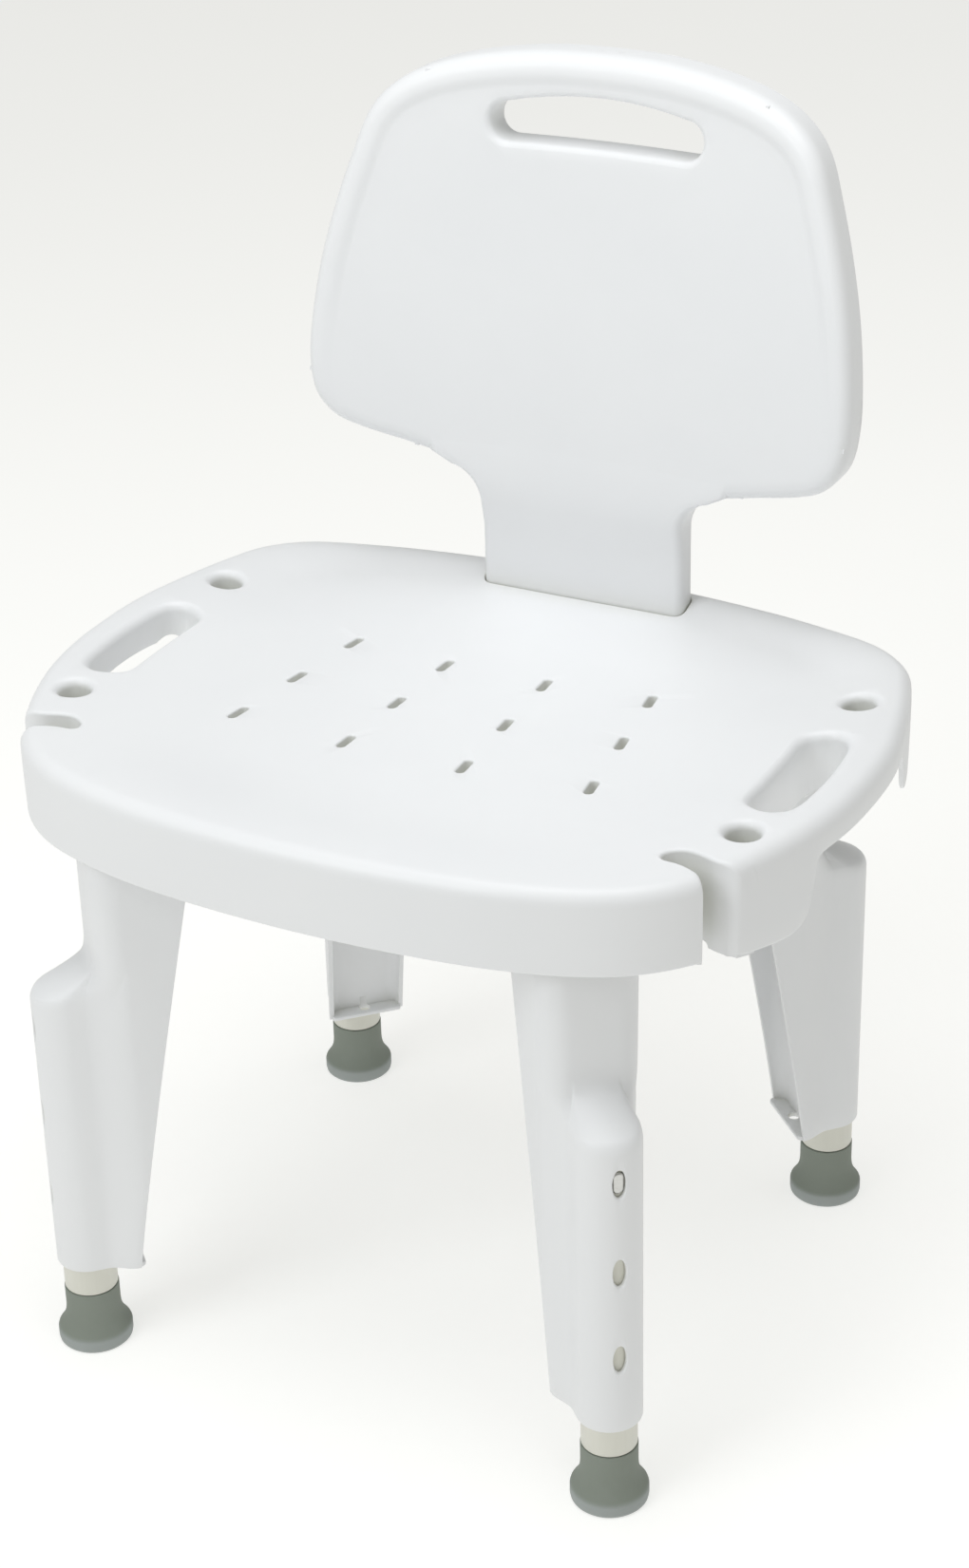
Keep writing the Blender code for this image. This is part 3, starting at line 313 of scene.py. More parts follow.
def rounded_loop(low, high, radius, steps=6):
    """Rectangle between two corners, with its corners rounded."""
    loop = []
    for x, y, start in ((high[0], high[1], 0), (low[0], high[1], 90), (low[0], low[1], 180),
                        (high[0], low[1], 270)):
        centre = (x - math.copysign(radius, x - (low[0] + high[0]) / 2),
                  y - math.copysign(radius, y - (low[1] + high[1]) / 2))
        loop += arc(centre, radius, start, start + 90, steps)
    return loop


def box_about(x, y, half_x, half_y, radius, steps=6):
    return rounded_loop((x - half_x, y - half_y), (x + half_x, y + half_y), radius, steps)


OPENING_WALL = 0.003            # depth of wall added round the hand slots and the hooks
SOCKET_X = 0.2185
SOCKET_YS = (-0.0717, 0.1049)
SOCKET_BORE = 0.0098
SOCKET_WALL = 0.0137
DRAIN_ARC = 0.8215              # radius of the middle row of drain holes, about a point behind the seat
DRAIN_ROW = 0.0576
DRAIN_COLUMN = 0.0728
NECK_HALF = 0.070
NECK_FRONT = 0.180
NECK_BACK = 0.200
NECK_MIDDLE = (NECK_FRONT + NECK_BACK) / 2
NECK_DEPTH = (NECK_BACK - NECK_FRONT) / 2
features = []
openings = []
embed = DECK_UNDER + 0.0015
for side in (-1, 1):
    features.append(straight_wall("grip_wall", grip_loop(side, OPENING_WALL),
                                  lambda p: 0.363 + 0.0225 * ease(abs(p.x), 0.2065, 0.222), embed))
    openings.append(deck_opening("grip_slot", grip_loop(side, 0.0), 0.0062, 0.340))
    hook_wall = straight_wall("hook_wall", hook_loop(side, OPENING_WALL),
                              lambda p: 0.353 - 0.0078 * ease(abs(p.x), 0.212, 0.231), embed)
    keep = straight_wall("keep", inset(SEAT_LOOP, 0.0012), 0.30, 0.42)
    features.append(combine(hook_wall, [keep], "INTERSECT"))
    openings.append(deck_opening("hook_slot", hook_loop(side, 0.0), 0.0022, 0.320))
    for y in SOCKET_YS:
        spot = (side * SOCKET_X, y)
        features.append(straight_wall("socket_wall", arc(spot, SOCKET_WALL, 0, 352.5, 47), 0.356, embed))
        openings.append(deck_opening("socket", arc(spot, SOCKET_BORE, 0, 352.5, 47), 0.0060, 0.335))
for row in (-1, 0, 1):
    radius = DRAIN_ARC + row * DRAIN_ROW
    for column in (-1.5, -0.5, 0.5, 1.5):
        angle = column * DRAIN_COLUMN / DRAIN_ARC
        place = (Matrix.Translation((radius * math.sin(angle), DRAIN_ARC - radius * math.cos(angle), 0))
                 @ Matrix.Rotation(angle - math.pi / 2, 4, "Z"))
        features.append(straight_wall("drain_collar", slot_loop(0.0200, 0.0086, place), 0.386, embed))
        openings.append(deck_opening("drain", slot_loop(0.0168, 0.0054, place), 0.0015, 0.37, 4, 10))
receiver = box_about(0.0, NECK_MIDDLE, NECK_HALF + 0.0034, NECK_DEPTH + 0.0034, 0.0090)
features.append(straight_wall("receiver", receiver, 0.3505, embed))
neck_gap = box_about(0.0, NECK_MIDDLE, NECK_HALF + 0.0006, NECK_DEPTH + 0.0006, 0.0066)
openings.append(deck_opening("neck_slot", neck_gap, 0.0012, 0.330, 4))
for x in (-DRAIN_COLUMN, 0.0, DRAIN_COLUMN):
    features.append(straight_wall("rib", box_about(x, 0.0, RIB_HALF, 0.125, 0.0004, 2), 0.380, embed))
for y in (-DRAIN_ROW / 2, DRAIN_ROW / 2):
    features.append(straight_wall("rib", box_about(0.0, y, 0.150, RIB_HALF, 0.0004, 2), 0.380, embed))

# Plugs under the deck, one inside the top of each leg. Each corner has its own place and bearing.
LEG_SPAN = 0.1796
CORNERS = {}
for corner, side, end_y in (("front_left", 1, -0.1654), ("front_right", -1, -0.1654),
                            ("rear_left", 1, 0.1774), ("rear_right", -1, 0.1774)):
    CORNERS[corner] = (Matrix.Translation((side * LEG_SPAN, end_y + GRID_Y, 0))
                       @ Matrix.Rotation(math.atan2(math.copysign(1, end_y), side), 4, "Z"))
for place in CORNERS.values():
    outer = rounded_loop((-0.0663, -0.0268), (-0.0213, 0.0268), 0.013)
    hollow = rounded_loop((-0.0633, -0.0238), (-0.0303, 0.0238), 0.010)
    plug = loft_mesh("leg_plug", [[(p.x, p.y, z) for p in loop] for loop, z in (
        (outer, 0.358), (outer, embed), (hollow, embed), (hollow, 0.358))], loop_round=True)
    plug.data.transform(place)
    features.append(plug)
combine(seat, features, "UNION")
combine(seat, openings, "DIFFERENCE")


class Socket:
    """A shader socket or a plain number, so that shader maths reads as Python."""

    def __init__(self, tree, value):
        self.tree = tree
        self.value = value

    def node(self, kind, settings=None, **inputs):
        """Any node: its settings first, then its sockets by name; gives the node."""
        made = self.tree.nodes.new(kind)
        for key, value in (settings or {}).items():
            if key == "stops":
                ramp = made.color_ramp
                while len(ramp.elements) < len(value):
                    ramp.elements.new(0.5)
                for element, (position, colour) in zip(ramp.elements, value):
                    element.position = position
                    element.color = (*colour, 1.0)
            else:
                setattr(made, key, value)
        for key, value in inputs.items():
            wanted = int(key[1:]) if key[0] == "_" else key.replace("_", " ")
            target = made.inputs[wanted]
            if isinstance(value, Socket):
                value = value.value
            if isinstance(value, bpy.types.NodeSocket):
                self.tree.links.new(value, target)
            else:
                target.default_value = value
        return made

    def of(self, made, output=0):
        return Socket(self.tree, made.outputs[output])

    def maths(self, operation, other):
        return self.of(self.node("ShaderNodeMath", {"operation": operation}, _0=self, _1=other))

    def __add__(self, other):
        return self.maths("ADD", other)

    def __mul__(self, other):
        return self.maths("MULTIPLY", other)

    def __sub__(self, other):
        return self.maths("SUBTRACT", other)

    def __rsub__(self, other):
        return Socket(self.tree, other).maths("SUBTRACT", self)

    __radd__ = __add__
    __rmul__ = __mul__


def new_material(name, **constants):
    """Principled material; constants go straight on the shader's sockets."""
    made = bpy.data.materials.new(name)
    made.use_nodes = True
    tree = made.node_tree
    shader = tree.nodes["Principled BSDF"]
    for key, value in constants.items():
        shader.inputs[key.replace("_", " ")].default_value = value
    return made, Socket(tree, 0.0), shader


def feed(graph, socket, shader, name):
    graph.tree.links.new(socket.value, shader.inputs[name])


def blended(graph, mask, low, high):
    """Colour between two by a mask."""
    return graph.of(graph.node("ShaderNodeMix", {"data_type": "RGBA"}, _0=mask, _6=low, _7=high), 2)


def tinted(graph, mask, low, high):
    return blended(graph, mask, (*low, 1.0), (*high, 1.0))


def noise(graph, vector, scale, detail, roughness):
    return graph.of(graph.node("ShaderNodeTexNoise", Vector=vector, Scale=scale, Detail=detail,
                               Roughness=roughness))


def smooth_mask(graph, value, start, end, strength):
    """Mask that rises from nothing at start to its full strength at end."""
    return graph.of(graph.node("ShaderNodeMapRange", {"interpolation_type": "SMOOTHSTEP"}, Value=value,
                               From_Min=start, From_Max=end, To_Min=0.0, To_Max=strength))


def grained(graph, shader, height, strength):
    """Fine relief of the surface."""
    bump = graph.node("ShaderNodeBump", Height=height, Strength=strength, Distance=0.0002)
    feed(graph, graph.of(bump), shader, "Normal")


# Satin white polypropylene with the faint cloudiness and fine spark-eroded grain of a mould. Corners
# and narrow hollows carry painted shade: they are darkened towards olive where little light reaches.
white_plastic, g, shader = new_material("white_polypropylene", Roughness=0.42, IOR=1.49)
where = g.of(g.node("ShaderNodeTexCoord"), 3)
clouds = noise(g, where, 9.0, 3.0, 0.55)
grain = noise(g, where, 1400.0, 2.0, 0.6)
scuffs = noise(g, where, 160.0, 4.0, 0.7)
# Painted shade: ambient occlusion picks out hollows, slots and corners, and the mask darkens them.
hollow = g.of(g.node("ShaderNodeAmbientOcclusion", {"samples": 3}, Distance=0.030), 1)
painted_shade = smooth_mask(g, hollow, 0.62, 0.10, 0.55)
moulded = tinted(g, clouds, (0.805, 0.815, 0.830), (0.848, 0.856, 0.866))
# The olive colour is the painted shade mixed into the moulded white.
feed(g, blended(g, painted_shade, moulded, (0.56, 0.56, 0.44, 1.0)), shader, "Base Color")
feed(g, 0.36 + clouds * 0.06 + scuffs * 0.10, shader, "Roughness")
grained(g, shader, grain * 0.6 + scuffs * 0.4, 0.10)


def show(made, material, body, slot, *nodes, angle=38):
    """Finish a piece: smooth shading, material, the body it rides on and the solids it stands for."""
    made.data.materials.clear()
    made.data.materials.append(material)
    made.data.shade_smooth()
    made.data.set_sharp_from_angle(angle=math.radians(angle))
    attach(made, body)
    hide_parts(*nodes)


show(seat, white_plastic, "seat", "white_plastic", "seat_shell")

# ---- Backrest ---------------------------------------------------------------------------------
# One moulding like the seat: a leaning panel, hollow in plan, with a raised rolled rim, ribs on the
# open rear and a hand slot. Its flat neck drops into the seat and lifts out without a tool.
PANEL_HALF = ((0.000, 0.741), (0.040, 0.740), (0.080, 0.735), (0.112, 0.727), (0.135, 0.715),
              (0.150, 0.698), (0.160, 0.672), (0.170, 0.640), (0.178, 0.606), (0.183, 0.570),
              (0.184, 0.543), (0.180, 0.521), (0.168, 0.506), (0.150, 0.498), (0.122, 0.491),
              (0.090, 0.484), (0.045, 0.480), (0.000, 0.480))
PANEL_DEPTH = 0.026
FIELD_DEPTH = 0.0016
PANEL_SKIN = 0.0036
PANEL_LOOP = smooth_loop(both_halves(PANEL_HALF), 5)
PANEL_MIDDLE = Vector((0.0, 0.6105))


def panel_front(x, z):
    """Depth of the crest of the rim at a point seen from the front: leaning, hollow in plan."""
    return 0.179 + 0.128 * (z - 0.475) - 0.028 * (x / 0.184) ** 2


def panel_ring(loop, depth, sunk=0.0):
    """Ring on the panel; what is sunk fades out towards the neck, where field and rim are flush."""
    return [(p.x, panel_front(p.x, p.y) + depth + sunk * ease(p.y, 0.500, 0.640) + GRID_Y, p.y)
            for p in loop]


def shrink(loop, share):
    return [PANEL_MIDDLE + (p - PANEL_MIDDLE) * share for p in loop]


# Rings run from the middle of the field over the rolled rim and back across the ribbed rear.
field = inset(PANEL_LOOP, 0.0200)
rings = [panel_ring(shrink(field, share), 0.0, FIELD_DEPTH) for share in (0.05, 0.2, 0.4, 0.6, 0.8, 0.93)]
for distance, share in ((0.0200, 1.0), (0.0190, 0.96), (0.0178, 0.82), (0.0164, 0.54), (0.0150, 0.26),
                        (0.0137, 0.07), (0.0122, 0.0)):
    rings.append(panel_ring(inset(PANEL_LOOP, distance), 0.0, FIELD_DEPTH * share))
for step in range(1, 9):
    angle = math.radians(90 * step / 8)
    rings.append(panel_ring(inset(PANEL_LOOP, 0.0100 * (1 - math.sin(angle))),
                            0.0120 * (1 - math.cos(angle))))
for distance, depth in ((0.0, 0.018), (0.0, PANEL_DEPTH - 0.001), (0.0008, PANEL_DEPTH - 0.0002),
                        (0.0028, PANEL_DEPTH - 0.0002), (PANEL_SKIN, PANEL_DEPTH - 0.001),
                        (PANEL_SKIN + 0.0004, 0.0125), (PANEL_SKIN + 0.0020, 0.0085),
                        (0.0120, FIELD_DEPTH + PANEL_SKIN)):
    rings.append(panel_ring(inset(PANEL_LOOP, distance), depth))
back_field = inset(PANEL_LOOP, 0.0190)
for share in (1.0, 0.8, 0.6, 0.4, 0.2, 0.05):
    rings.append(panel_ring(shrink(back_field, share), FIELD_DEPTH + PANEL_SKIN))
backrest = loft_mesh("back_panel", rings)


def hand_slot_loop(margin):
    """Hand slot of the panel: flat floor, gently arched top, full round ends."""
    floor = 0.6855 - margin
    top = 0.7095 + margin
    radius = (top - floor) / 2
    reach = 0.071 - 0.012
    loop = arc((reach, floor + radius), radius, -90, 78, 14)
    for step in range(17):
        share = 1 - step / 8
        loop.append(Vector((reach * share, top + 0.0062 * (1 - share * share))))
    loop += arc((-reach, floor + radius), radius, 102, 270, 14)
    return loop + [Vector((-reach + 2 * reach * step / 12, floor)) for step in range(1, 12)]


def panel_rib(start, end, across, low, high, steps=16):
    """Thin rib on the rear of the panel, bent with it."""
    rows = []
    for step in range(steps + 1):
        middle = Vector(start).lerp(Vector(end), step / steps)
        a = middle - Vector(across) * RIB_HALF
        b = middle + Vector(across) * RIB_HALF
        rows.append([(p.x, panel_front(p.x, p.y) + depth + GRID_Y, p.y)
                     for p, depth in ((a, low), (b, low), (b, high), (a, high))])
    return loft_mesh("panel_rib", rows)


PANEL_SIDES = list(zip(PANEL_LOOP, PANEL_LOOP[1:] + PANEL_LOOP[:1]))


def panel_reach(x):
    """Lowest and highest point of the panel's outline at a distance from its middle."""
    heights = [a.y + (b.y - a.y) * (x - a.x) / (b.x - a.x)
               for a, b in PANEL_SIDES if (a.x - x) * (b.x - x) <= 0 and a.x != b.x]
    return min(heights), max(heights)


RIB_EMBED = 0.0018
skin = FIELD_DEPTH + PANEL_SKIN - 0.0015
rear = PANEL_DEPTH - 0.003
tunnel = [panel_ring(hand_slot_loop(margin), depth) for margin, depth in (
    (0.0032, skin), (0.0032, rear - 0.0006), (0.0026, rear), (-0.001, rear), (-0.001, skin))]
features = [loft_mesh("slot_tunnel", tunnel, loop_round=True)]
for x in (-0.112, -0.056, 0.0, 0.056, 0.112):
    low, high = panel_reach(x)
    top = 0.6840 if abs(x) < 0.071 else high - RIB_EMBED
    features.append(panel_rib((x, low + RIB_EMBED), (x, top), (1, 0), skin, rear - 0.002))
for z in (0.536, 0.592, 0.648):
    half = max(a.x for a, b in PANEL_SIDES if (a.y - z) * (b.y - z) <= 0) - RIB_EMBED
    features.append(panel_rib((-half, z), (half, z), (0, 1), skin, rear - 0.002, 24))


def neck_ring(z, half, back, radius, merge=0.0, depth=-0.0002):
    """Level ring of the neck; its front follows the panel's hollow face as the two merge."""
    ring = []
    plan = rounded_loop((-half, NECK_FRONT), (half, back), radius)
    left, right = plan[20], plan[21]
    face = [left.lerp(right, k / 20) for k in range(1, 20)]
    for p in plan[:21] + face + plan[21:]:
        share = merge * (1 - ease(p.y, NECK_FRONT + 0.004, back - 0.004))
        ring.append((p.x, p.y + share * (panel_front(p.x, z) + depth - NECK_FRONT) + GRID_Y, z))
    return ring


neck_rows = [neck_ring(0.3502, NECK_HALF - 0.0012, NECK_BACK - 0.0012, 0.0050)]
for z in (0.3514, 0.38, 0.41, 0.43, 0.44):
    neck_rows.append(neck_ring(z, NECK_HALF, NECK_BACK, 0.0060))
for step in range(1, 13):
    angle = math.radians(78 * step / 12)
    grow = 0.026 * (1 - math.cos(angle))
    z = 0.4565 + 0.026 * math.sin(angle)
    neck_rows.append(neck_ring(z, NECK_HALF + grow, NECK_BACK, 0.0060, ease(z, 0.430, 0.4825)))
for z, half, depth in ((0.4890, 0.1035, -0.0002), (0.4950, 0.1046, -0.0001), (0.4990, 0.1046, 0.0002),
                       (0.5020, 0.1046, 0.0006)):
    neck_rows.append(neck_ring(z, half, NECK_BACK, 0.0060, 1.0, depth))
features.append(loft_mesh("neck", neck_rows))
combine(backrest, features, "UNION")

# The hand slot's front edge is rounded, and the cutter flares on in front of the panel.
lip = 0.0042
rows = [panel_ring(hand_slot_loop(lip * 0.79 + 0.020 * 0.978), FIELD_DEPTH - 0.020 * 0.208)]
for step in range(7):
    angle = math.radians(78 * (1 - step / 6))
    rows.append(panel_ring(hand_slot_loop(lip * (1 - math.cos(angle))),
                           FIELD_DEPTH + lip * (0.978 - math.sin(angle))))
rows.append(panel_ring(hand_slot_loop(0.0), PANEL_DEPTH + 0.030))
combine(backrest, [loft_mesh("hand_slot", rows)], "DIFFERENCE")
show(backrest, white_plastic, "back", "white_plastic", "backrest")

# ---- Legs -------------------------------------------------------------------------------------
# Four mouldings of the same white plastic. Each is a tapered channel, open towards the middle of the
# chair, with a round pocket for the height tube on its outer end and a web across the foot.
LEG_FOOT = 0.0605
LEG_HEAD = 0.3955
LEG_WALL = 0.003
END_FACE = -0.018
TUBE_BORE = 0.0170
POCKET = 0.0198
DOME_START = 0.250
DOME_EDGE = 0.009
DOME_FILLET = 0.014
DOME_SLOPE = math.radians(26)
HOLE_TOP = 0.2317
HOLE_PITCH = 0.060
SCREW_Z = 0.376


def leg_section(z, stand):
    """Whole U-section; stand is how far the pocket stands out, as a share of its full size."""
    share = (z - LEG_FOOT) / (LEG_HEAD - LEG_FOOT)
    depth = 0.028 + 0.060 * share ** 1.1
    half = 0.0265 + 0.0045 * share
    radius = min(0.0160, depth + END_FACE - 0.001)
    middle = END_FACE - radius
    start = -min(depth - 0.001, 0.036)
    plain = [Vector((start + (middle - start) * k / 10, half)) for k in range(10)]
    plain += arc((middle, half - radius), radius, 90, 0, 15)
    plain += [Vector((END_FACE, (half - radius) * (1 - k / 20))) for k in range(1, 21)]
    bulged = [Vector((start + (-0.008 - start) * k / 25, half + (POCKET - half) * ease(k / 25, 0.0, 1.0)))
              for k in range(26)]
    bulged += arc((0.0, 0.0), POCKET, 90, 0, 19)
    side = [Vector((-depth, half))] + [a.lerp(b, stand) for a, b in zip(plain, bulged)]
    outside = side + [Vector((p.x, -p.y)) for p in side[-2::-1]]
    inside = [Vector((-depth, half - LEG_WALL))]
    inside += arc((middle, half - radius), radius - LEG_WALL, 90, 0, 10)
    return outside + [Vector((p.x, -p.y)) for p in inside] + inside[::-1]


# Profile of the pocket's sloping top: a rounded front edge, a slope, and a fillet up the end wall.
front = POCKET - DOME_EDGE
dome = []
for k in range(9):
    angle = (math.pi / 2 - DOME_SLOPE) * k / 8
    dome.append((front + DOME_EDGE * math.cos(angle), DOME_START + DOME_EDGE * math.sin(angle)))
crown = dome[-1]
landing = END_FACE + DOME_FILLET * (1 - math.sin(DOME_SLOPE))
climb = (crown[0] - landing) * math.tan(DOME_SLOPE)
base = crown[1] + climb
for k in range(1, 8):
    dome.append((crown[0] + (landing - crown[0]) * k / 8, base - climb * (1 - k / 8)))
for k in range(9):
    angle = DOME_SLOPE + (math.pi / 2 - DOME_SLOPE) * k / 8
    dome.append((END_FACE + DOME_FILLET * (1 - math.sin(angle)),
                 base + DOME_FILLET * (math.cos(DOME_SLOPE) - math.cos(angle))))

# Each level is a height, how far the pocket stands out there, and how much thinner the section is.
levels = [(LEG_FOOT, 1.0, 0.0007), (LEG_FOOT + 0.0003, 1.0, 0.0002), (LEG_FOOT + 0.0009, 1.0, 0.0)]
levels += [(LEG_FOOT + 0.0009 + (DOME_START - LEG_FOOT - 0.0009) * k / 14, 1.0, 0.0) for k in range(1, 14)]
levels += [(z, (x - END_FACE) / (POCKET - END_FACE), 0.0) for x, z in dome]
levels += [(dome[-1][1] + (LEG_HEAD - dome[-1][1]) * k / 7, 0.0, 0.0) for k in range(1, 8)]
rows = [[(p.x, p.y, z) for p in inset(leg_section(z, stand), thinner)] for z, stand, thinner in levels]
channel = loft_mesh("leg_channel", rows)
web_rows = []
for z, margin in ((LEG_FOOT - 0.0001, 0.0010), (LEG_FOOT + 0.0004, 0.0002), (LEG_FOOT + 0.0010, 0.0),
                  (LEG_FOOT + 0.0024, 0.0), (LEG_FOOT + 0.0030, 0.0006)):
    plan = rounded_loop((-0.0315 + margin, -0.0246), (-0.0200, 0.0246), 0.0022)
    web_rows.append([(p.x, p.y, z) for p in plan])
combine(channel, [loft_mesh("leg_web", web_rows)], "UNION")


def turned(name, profile, sides=96):
    """Solid of revolution about Z from a profile of radius and height; a closed profile gives a ring."""
    closed = profile[0] == profile[-1]
    rings = [[(p.x, p.y, z) for p in arc((0.0, 0.0), radius, 0, 360 * (sides - 1) / sides, sides - 1)]
             for radius, z in (profile[:-1] if closed else profile)]
    return loft_mesh(name, rings, loop_round=closed)


cutters = [turned("leg_bore", [(TUBE_BORE, 0.2556), (TUBE_BORE, LEG_FOOT + 0.0012),
                               (TUBE_BORE + 0.0009, LEG_FOOT), (TUBE_BORE + 0.0009, 0.03)])]
for k in range(3):
    z = HOLE_TOP - HOLE_PITCH * k
    rings = []
    for depth, grow in ((0.008, 0.0), (POCKET - 0.0014, 0.0), (POCKET - 0.0009, 0.0002),
                        (POCKET - 0.0003, 0.0008), (POCKET + 0.0002, 0.0020), (POCKET + 0.004, 0.0140)):
        rings.append([(depth, (0.0039 + grow) * p.x, z + (0.0092 + grow) * p.y)
                      for p in arc((0.0, 0.0), 1.0, 0, 351, 39)])
    cutters.append(loft_mesh("leg_hole", rings))
cutters.append(turned("web_drain", [(0.004, LEG_FOOT + 0.01), (0.004, LEG_FOOT - 0.01)], 32))
cutters[-1].data.transform(Matrix.Translation((-0.024, 0, 0)))
cutters.append(turned("screw_way", [(0.0026, 0.02), (0.0026, -0.02)], 32))
cutters[-1].data.transform(Matrix.Translation((END_FACE, 0, SCREW_Z)) @ Matrix.Rotation(math.pi / 2, 4, "Y"))
combine(channel, cutters, "DIFFERENCE")

for corner, place in CORNERS.items():
    leg = bpy.data.objects.new("leg_" + corner, channel.data.copy())
    bpy.context.scene.collection.objects.link(leg)
    leg.data.transform(place)
    show(leg, white_plastic, "seat", "white_plastic", "leg_housing_" + corner)
bpy.data.objects.remove(channel, do_unlink=True)

# ---- Height tubes -----------------------------------------------------------------------------
# Cream plastic pipe with a plain wall. Its lower end is turned down to a spigot for the rubber foot,
# and one slot near the top lets the snap button out.
cream_plastic, g, shader = new_material("cream_tube_plastic", Roughness=0.38, IOR=1.50)
where = g.of(g.node("ShaderNodeTexCoord"), 3)
streaks = g.node("ShaderNodeMapping", Vector=where, Scale=(240.0, 240.0, 9.0))
drawn = noise(g, g.of(streaks), 1.0, 3.0, 0.6)
feed(g, tinted(g, drawn, (0.690, 0.685, 0.610), (0.745, 0.740, 0.665)), shader, "Base Color")
feed(g, 0.32 + drawn * 0.14, shader, "Roughness")
grained(g, shader, drawn, 0.12)

TUBE_RADIUS = 0.0167
TUBE_INSIDE = 0.0142
tube = turned("height_tube", [(0.0144, 0.2553), (0.0161, 0.2553), (TUBE_RADIUS, 0.2547),
                              (TUBE_RADIUS, 0.2000), (TUBE_RADIUS, 0.1500), (TUBE_RADIUS, 0.1000),
                              (TUBE_RADIUS, 0.0408),
                              (0.0165, 0.0404), (0.0142, 0.0403), (0.0142, 0.0090), (0.0138, 0.0084),
                              (0.0118, 0.0084), (0.0118, 0.0425), (TUBE_INSIDE, 0.0455), (0.0144, 0.2553)])


def upright_oval(length, width, depth, steps):
    """Round-ended upright loop that faces out of the leg, at the height of its top hole."""
    return [(depth, p.y, HOLE_TOP + p.x) for p in slot_loop(length, width, Matrix.Identity(4), steps)]


button_slot = loft_mesh("button_slot", [upright_oval(0.0146, 0.0072, depth, 8) for depth in (0.003, 0.030)])
combine(tube, [button_slot], "DIFFERENCE")

# ---- Rubber feet ------------------------------------------------------------------------------
# Moulded grey rubber, pushed over the tube's spigot: a straight sleeve that flares to a broad sole.
# The flared part is a little paler where it has bloomed and been rubbed by the floor.
grey_rubber, g, shader = new_material("grey_rubber", Roughness=0.72, IOR=1.52)
shader.inputs["Specular IOR Level"].default_value = 0.35
where = g.of(g.node("ShaderNodeTexCoord"), 3)
height = g.of(g.node("ShaderNodeSeparateXYZ", Vector=where), 2)
speck = noise(g, where, 900.0, 3.0, 0.6)
bloom = noise(g, where, 60.0, 4.0, 0.6)
sole = smooth_mask(g, height + (bloom - 0.5) * 0.0015, 0.0110, 0.0070, 1.0)
rubbed = sole * 0.85 + (bloom - 0.5) * 0.25
feed(g, tinted(g, rubbed, (0.240, 0.268, 0.230), (0.370, 0.400, 0.395)), shader, "Base Color")
feed(g, 0.62 + bloom * 0.16, shader, "Roughness")
grained(g, shader, speck, 0.25)

foot = turned("rubber_foot", [(0.0150, 0.0397), (0.0167, 0.0397), (0.0171, 0.0393), (0.0171, 0.0320),
                              (0.0171, 0.0260), (0.0173, 0.0225), (0.0179, 0.0190), (0.0191, 0.0155),
                              (0.0209, 0.0122), (0.0224, 0.0102), (0.0231, 0.0092), (0.0234, 0.0082),
                              (0.0234, 0.0030), (0.0230, 0.0010), (0.0220, 0.0000), (0.0120, 0.0000),
                              (0.0040, 0.0000), (0.0005, 0.0000)])
combine(foot, [turned("foot_well", [(0.0145, 0.05), (0.0145, 0.0060)])], "DIFFERENCE")

# ---- Washers, snap buttons and springs --------------------------------------------------------
# Stainless steel pressings. The washer lies in the foot under the tube; the button and its leaf
# spring sit in the top of the tube, and the button's oval nose shows in the leg's hole.
steel, g, shader = new_material("stainless_steel", Metallic=1.0, Roughness=0.3)
where = g.of(g.node("ShaderNodeTexCoord"), 3)
brushed = noise(g, where, 700.0, 4.0, 0.65)
feed(g, tinted(g, brushed, (0.52, 0.52, 0.50), (0.70, 0.70, 0.68)), shader, "Base Color")
feed(g, 0.22 + brushed * 0.18, shader, "Roughness")

washer = turned("foot_washer", [(0.0136, 0.0079), (0.0139, 0.0076), (0.0139, 0.0066), (0.0136, 0.0063),
                                (0.0053, 0.0063), (0.0050, 0.0066), (0.0050, 0.0076), (0.0053, 0.0079),
                                (0.0136, 0.0079)], 64)

# The button's flange lies against the inside of the tube, and its nose is rounded at the front.
PRESS_TRAVEL = 0.003
FLANGE_THICK = 0.0018
flange = math.sqrt(TUBE_INSIDE ** 2 - 0.0049 ** 2) - 0.0006
button = loft_mesh("snap_button", [
    upright_oval(0.0140 + 2 * grow, 0.0066 + 2 * grow, depth, 10) for depth, grow in (
        (flange - FLANGE_THICK, 0.0016), (flange, 0.0016), (flange, 0.0), (0.0170, 0.0), (0.0176, -0.0002),
        (0.0179, -0.0006), (0.0181, -0.0013), (0.0181, -0.0024))])

# The spring is a strip bent to a U: one arm behind the button, one against the far side of the tube.
SPRING_HALF = 0.0025
SPRING_THICK = 0.0008
SPRING_GAP = 0.0003
SPRING_LENGTH = 0.044
spring_top = HOLE_TOP + 0.0070
spring_front = flange - FLANGE_THICK - PRESS_TRAVEL - SPRING_GAP - SPRING_THICK
spring_rear = -math.sqrt(TUBE_INSIDE ** 2 - SPRING_HALF ** 2) + SPRING_GAP + SPRING_THICK
bend = (spring_front - spring_rear) / 2
middle = (spring_front + spring_rear) / 2
low = spring_top - SPRING_LENGTH + bend
path = [Vector((spring_front, z)) for z in (spring_top, 0.2200, low)]
path += arc((middle, low), bend, -12, -168, 13)
path += [Vector((spring_rear, z)) for z in (low, 0.2200, spring_top)]
rows = []
for before, here, after in zip(path[:1] + path, path, path[1:] + path[-1:]):
    along = (after - before).normalized()
    out = here + Vector((-along.y, along.x)) * SPRING_THICK
    rows.append([(here.x, -SPRING_HALF, here.y), (here.x, SPRING_HALF, here.y),
                 (out.x, SPRING_HALF, out.y), (out.x, -SPRING_HALF, out.y)])
spring = loft_mesh("button_spring", rows)

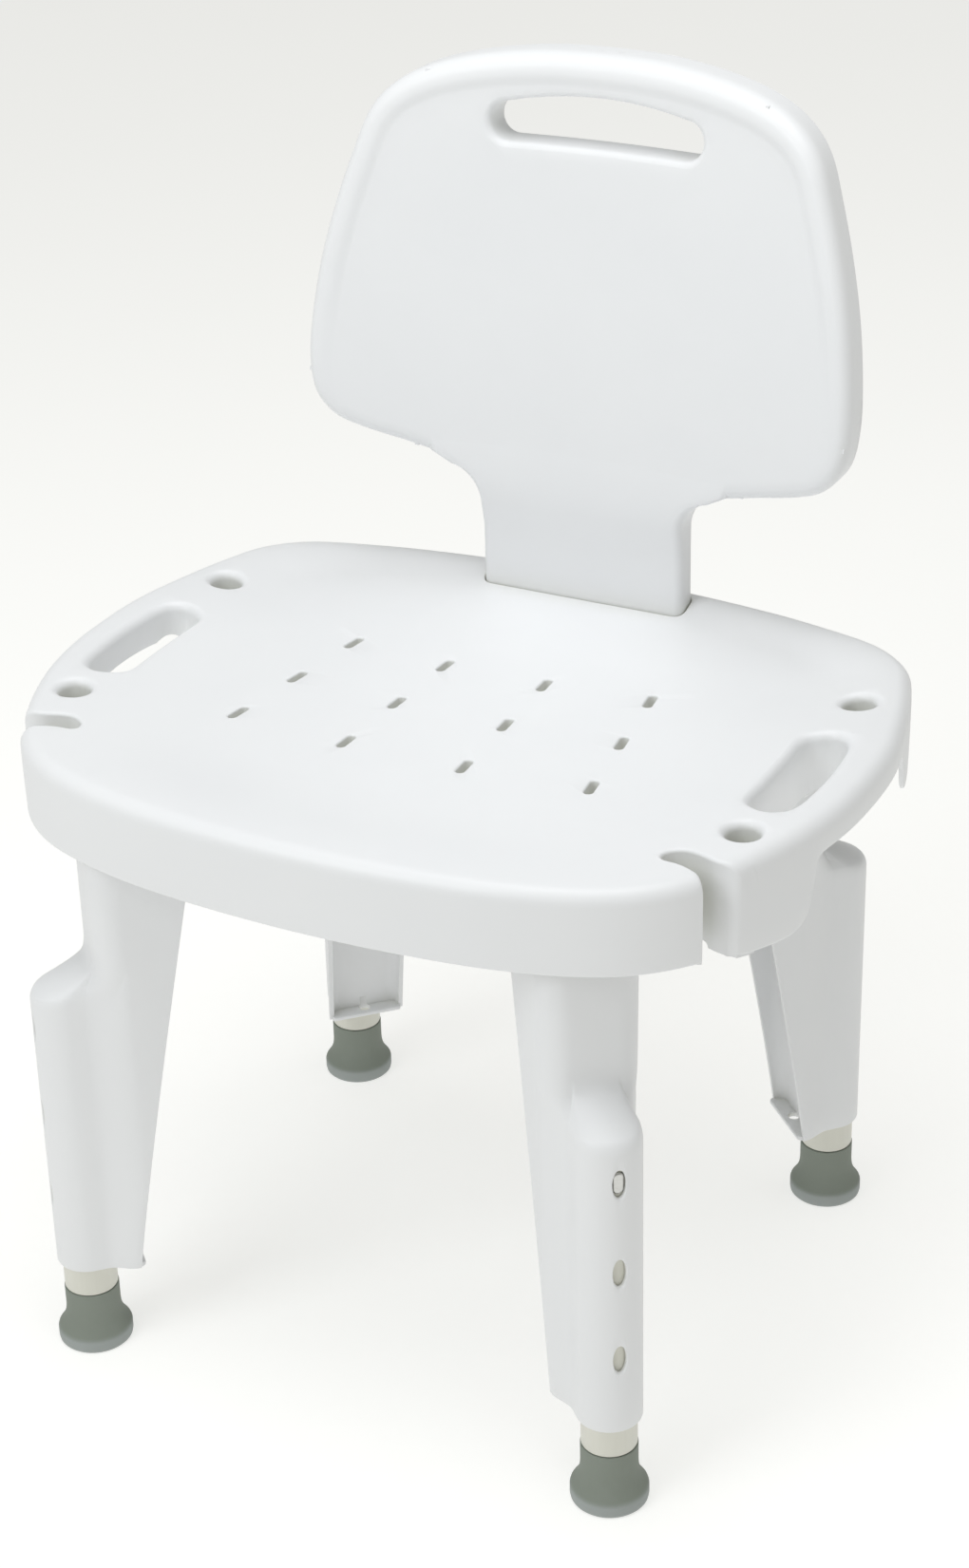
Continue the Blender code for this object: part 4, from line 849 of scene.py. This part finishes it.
# ---- Leg screws -------------------------------------------------------------------------------
# Pan-head stainless screws, driven through each leg's end wall into the plug moulded in the seat.
screw = turned("leg_screw", [(0.0008, 0.0024), (0.0026, 0.0023), (0.0036, 0.0018), (0.0042, 0.0008),
                             (0.0042, 0.0), (0.0019, 0.0), (0.0019, -0.0100), (0.0002, -0.0120)], 40)
screw.data.transform(Matrix.Translation((END_FACE + 0.0003, 0, SCREW_Z))
                     @ Matrix.Rotation(math.pi / 2, 4, "Y"))

# The corner pieces are made once, about the tube's axis, and set at each corner.
for first, piece, material, body, slot in ((tube, "leg_tube", cream_plastic, "extension_", "cream_plastic"),
                                           (foot, "rubber_foot", grey_rubber, "extension_", "grey_rubber"),
                                           (washer, "foot_washer", steel, "extension_", "steel"),
                                           (spring, "button_spring", steel, "extension_", "steel"),
                                           (button, "snap_button", steel, "button_", "steel"),
                                           (screw, "leg_screw", steel, "seat", "steel")):
    for corner, place in CORNERS.items():
        copy = bpy.data.objects.new(first.name + "_" + corner + "_look", first.data.copy())
        bpy.context.scene.collection.objects.link(copy)
        copy.data.transform(place)
        show(copy, material, body if body == "seat" else body + corner, slot, piece + "_" + corner)
    bpy.data.objects.remove(first, do_unlink=True)

# ---- Studio -----------------------------------------------------------------------------------
# A pale, faintly lit floor that runs on to the horizon, an even sky, one broad soft light overhead
# and a smaller one at the front left.
floor = bpy.data.objects.new("floor", bpy.data.meshes.new("floor"))
floor.data.from_pydata([(-30, -30, 0), (30, -30, 0), (30, 30, 0), (-30, 30, 0)], [], [(0, 1, 2, 3)])
bpy.context.scene.collection.objects.link(floor)
paper, g, shader = new_material("studio_paper", Roughness=0.9)
shader.inputs["Specular IOR Level"].default_value = 0.0
where = g.of(g.node("ShaderNodeTexCoord"), 3)
felt = noise(g, where, 2.0, 2.0, 0.5)
feed(g, tinted(g, felt, (0.50, 0.50, 0.49), (0.52, 0.52, 0.51)), shader, "Base Color")
shader.inputs["Emission Color"].default_value = (1.0, 1.0, 0.98, 1.0)
shader.inputs["Emission Strength"].default_value = 0.60
floor.data.materials.append(paper)

world = bpy.data.worlds.new("studio")
world.use_nodes = True
world.node_tree.nodes["Background"].inputs["Color"].default_value = (1.0, 1.0, 0.95, 1.0)
world.node_tree.nodes["Background"].inputs["Strength"].default_value = 0.36
bpy.context.scene.world = world


def soft_light(name, spot, aim, size, power, colour):
    lamp = bpy.data.lights.new(name, "AREA")
    lamp.shape = "SQUARE"
    lamp.size = size
    lamp.energy = power
    lamp.color = colour
    made = bpy.data.objects.new(name, lamp)
    made.location = spot
    made.rotation_euler = (Vector(aim) - Vector(spot)).to_track_quat("-Z", "Y").to_euler()
    bpy.context.scene.collection.objects.link(made)


soft_light("overhead", (0.1, -0.2, 2.6), (0.0, 0.0, 0.3), 1.6, 30.0, (0.975, 0.985, 1.0))
soft_light("key", (-0.65, -1.55, 1.75), (0.0, 0.1, 0.68), 1.0, 12.5, (0.95, 0.975, 1.0))

camera = bpy.data.objects.new("camera", bpy.data.cameras.new("camera"))
camera.data.sensor_width = 36.0
camera.data.lens = 71.52
spot = Vector((0.7902, -1.4600 + GRID_Y, 1.2193))
aim = Vector((0.0220, 0.0 + GRID_Y, 0.3576))
roll = Matrix.Rotation(math.radians(-1.52), 4, "Z").to_quaternion()
camera.location = spot
camera.rotation_euler = ((aim - spot).to_track_quat("-Z", "Y") @ roll).to_euler()
bpy.context.scene.collection.objects.link(camera)
bpy.context.scene.camera = camera
bpy.context.scene.view_settings.view_transform = "Standard"
